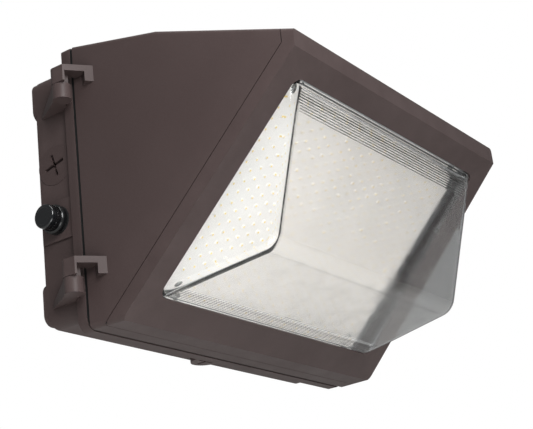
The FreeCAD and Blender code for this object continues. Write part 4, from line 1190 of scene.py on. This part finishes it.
@dataclass
class Studio:
    """Camera, lights, floor and backdrop."""

    location: Triple = (-0.8945, -0.6667, -0.3871)
    yaw: float = math.radians(57.6)
    pitch: float = math.radians(20.14)
    roll: float = math.radians(-6.78)
    focal_pixels: float = 1313.0
    centre: Point = (266.8, 214.2)
    sensor: float = 36.0
    near: float = 0.01
    target: Triple = (0.0, -0.12, 0.0)
    fill: float = 0.25
    floor_height: float = -0.62
    floor_half: float = 3.0
    floor_cells: int = 24

    def camera(self) -> None:
        """Place the camera where the photograph was taken from."""
        data = bpy.data.cameras.new("camera")
        data.sensor_width = self.sensor
        data.lens = self.focal_pixels / IMAGE_WIDTH * data.sensor_width
        data.shift_x = (IMAGE_WIDTH / 2 - self.centre[0]) / IMAGE_WIDTH
        data.shift_y = (self.centre[1] - IMAGE_HEIGHT / 2) / IMAGE_WIDTH
        data.clip_start = self.near
        forward = Vector((math.sin(self.yaw) * math.cos(self.pitch),
                          math.cos(self.yaw) * math.cos(self.pitch), math.sin(self.pitch)))
        right = forward.cross(Vector((0.0, 0.0, 1.0))).normalized()
        up = right.cross(forward)
        cos, sin = math.cos(self.roll), math.sin(self.roll)
        axes = Matrix((right * cos + up * sin, up * cos - right * sin, -forward))
        made = linked("camera", data)
        made.matrix_world = Matrix.Translation(self.location) @ axes.transposed().to_4x4()
        bpy.context.scene.camera = made

    def world(self) -> None:
        """White behind the object for the camera, and a soft grey fill for the rest."""
        made = bpy.data.worlds.new("studio")
        bpy.context.scene.world = made
        made.use_nodes = True
        nodes, links = made.node_tree.nodes, made.node_tree.links
        background = nodes["Background"]
        path = nodes.new("ShaderNodeLightPath")
        level = nodes.new("ShaderNodeMapRange")
        level.inputs["To Min"].default_value = self.fill
        level.inputs["To Max"].default_value = 1.0
        links.new(path.outputs["Is Camera Ray"], level.inputs["Value"])
        links.new(level.outputs["Result"], background.inputs["Strength"])
        background.inputs["Color"].default_value = (1.0, 1.0, 1.0, 1.0)

    def floor(self) -> None:
        """A plain pale floor, well under the light."""
        work = bmesh.new()
        bmesh.ops.create_grid(work, x_segments=self.floor_cells, y_segments=self.floor_cells,
                              size=self.floor_half)
        data = bpy.data.meshes.new("studio_floor")
        work.to_mesh(data)
        work.free()
        made = STUDIO.dress(linked("studio_floor", data))
        made.location = (0.0, 0.0, self.floor_height)

    def build(self) -> None:
        """Make the whole studio."""
        self.camera()
        for lamp in LAMPS:
            lamp.build(self.target)
        self.world()
        self.floor()
        bpy.context.scene.view_settings.view_transform = "Standard"


# ---- assembly


@dataclass
class CadPieces:
    """The CAD nodes, by name."""

    nodes: dict[str, Object]

    def dress(self) -> int:
        """Give every node its finish.

        Returns:
            The number of nodes dressed.
        """
        for finish, names in CAD_FINISHES.items():
            for name in names:
                finish.dress(self.nodes[name])
        return sum(map(len, CAD_FINISHES.values()))


def main() -> None:
    """Build the scene in order and report each piece."""
    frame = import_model()
    log.info("studio")
    Studio().build()
    log.info("dressed %d CAD nodes", CadPieces(frame["nodes"]).dress())
    cell = Photocell()
    board = LightBoard()
    packages, domes = board.chips()
    for piece, body, slot, nodes in (
            (DropLens().build(), Body.DOOR, "clear_lens", ["lens"]),
            (packages, Body.DOOR, "board_white", []),
            (domes, Body.DOOR, "chip_phosphor", ["led_chips"]),
            (board.screws(), Body.DOOR, "screw_steel", ["board_screws"]),
            (EntryPlug(side=-1.0).build(), Body.BASE, "bronze_coat", ["plug_left"]),
            (EntryPlug(side=1.0).build(), Body.BASE, "bronze_coat", ["plug_right"]),
            (cell.cap(), Body.BASE, "cell_smoke", ["photocell_cap"]),
            (cell.collar(), Body.BASE, "bronze_coat", ["photocell_collar"]),
            (cell.knurl(), Body.BASE, "cell_black", [])):
        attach(piece, body.value)
        if nodes:
            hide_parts(*nodes)
        log.info("%s: %d faces on %s", piece.name, len(piece.data.polygons), body.value)


if __name__ == "__main__":
    main()
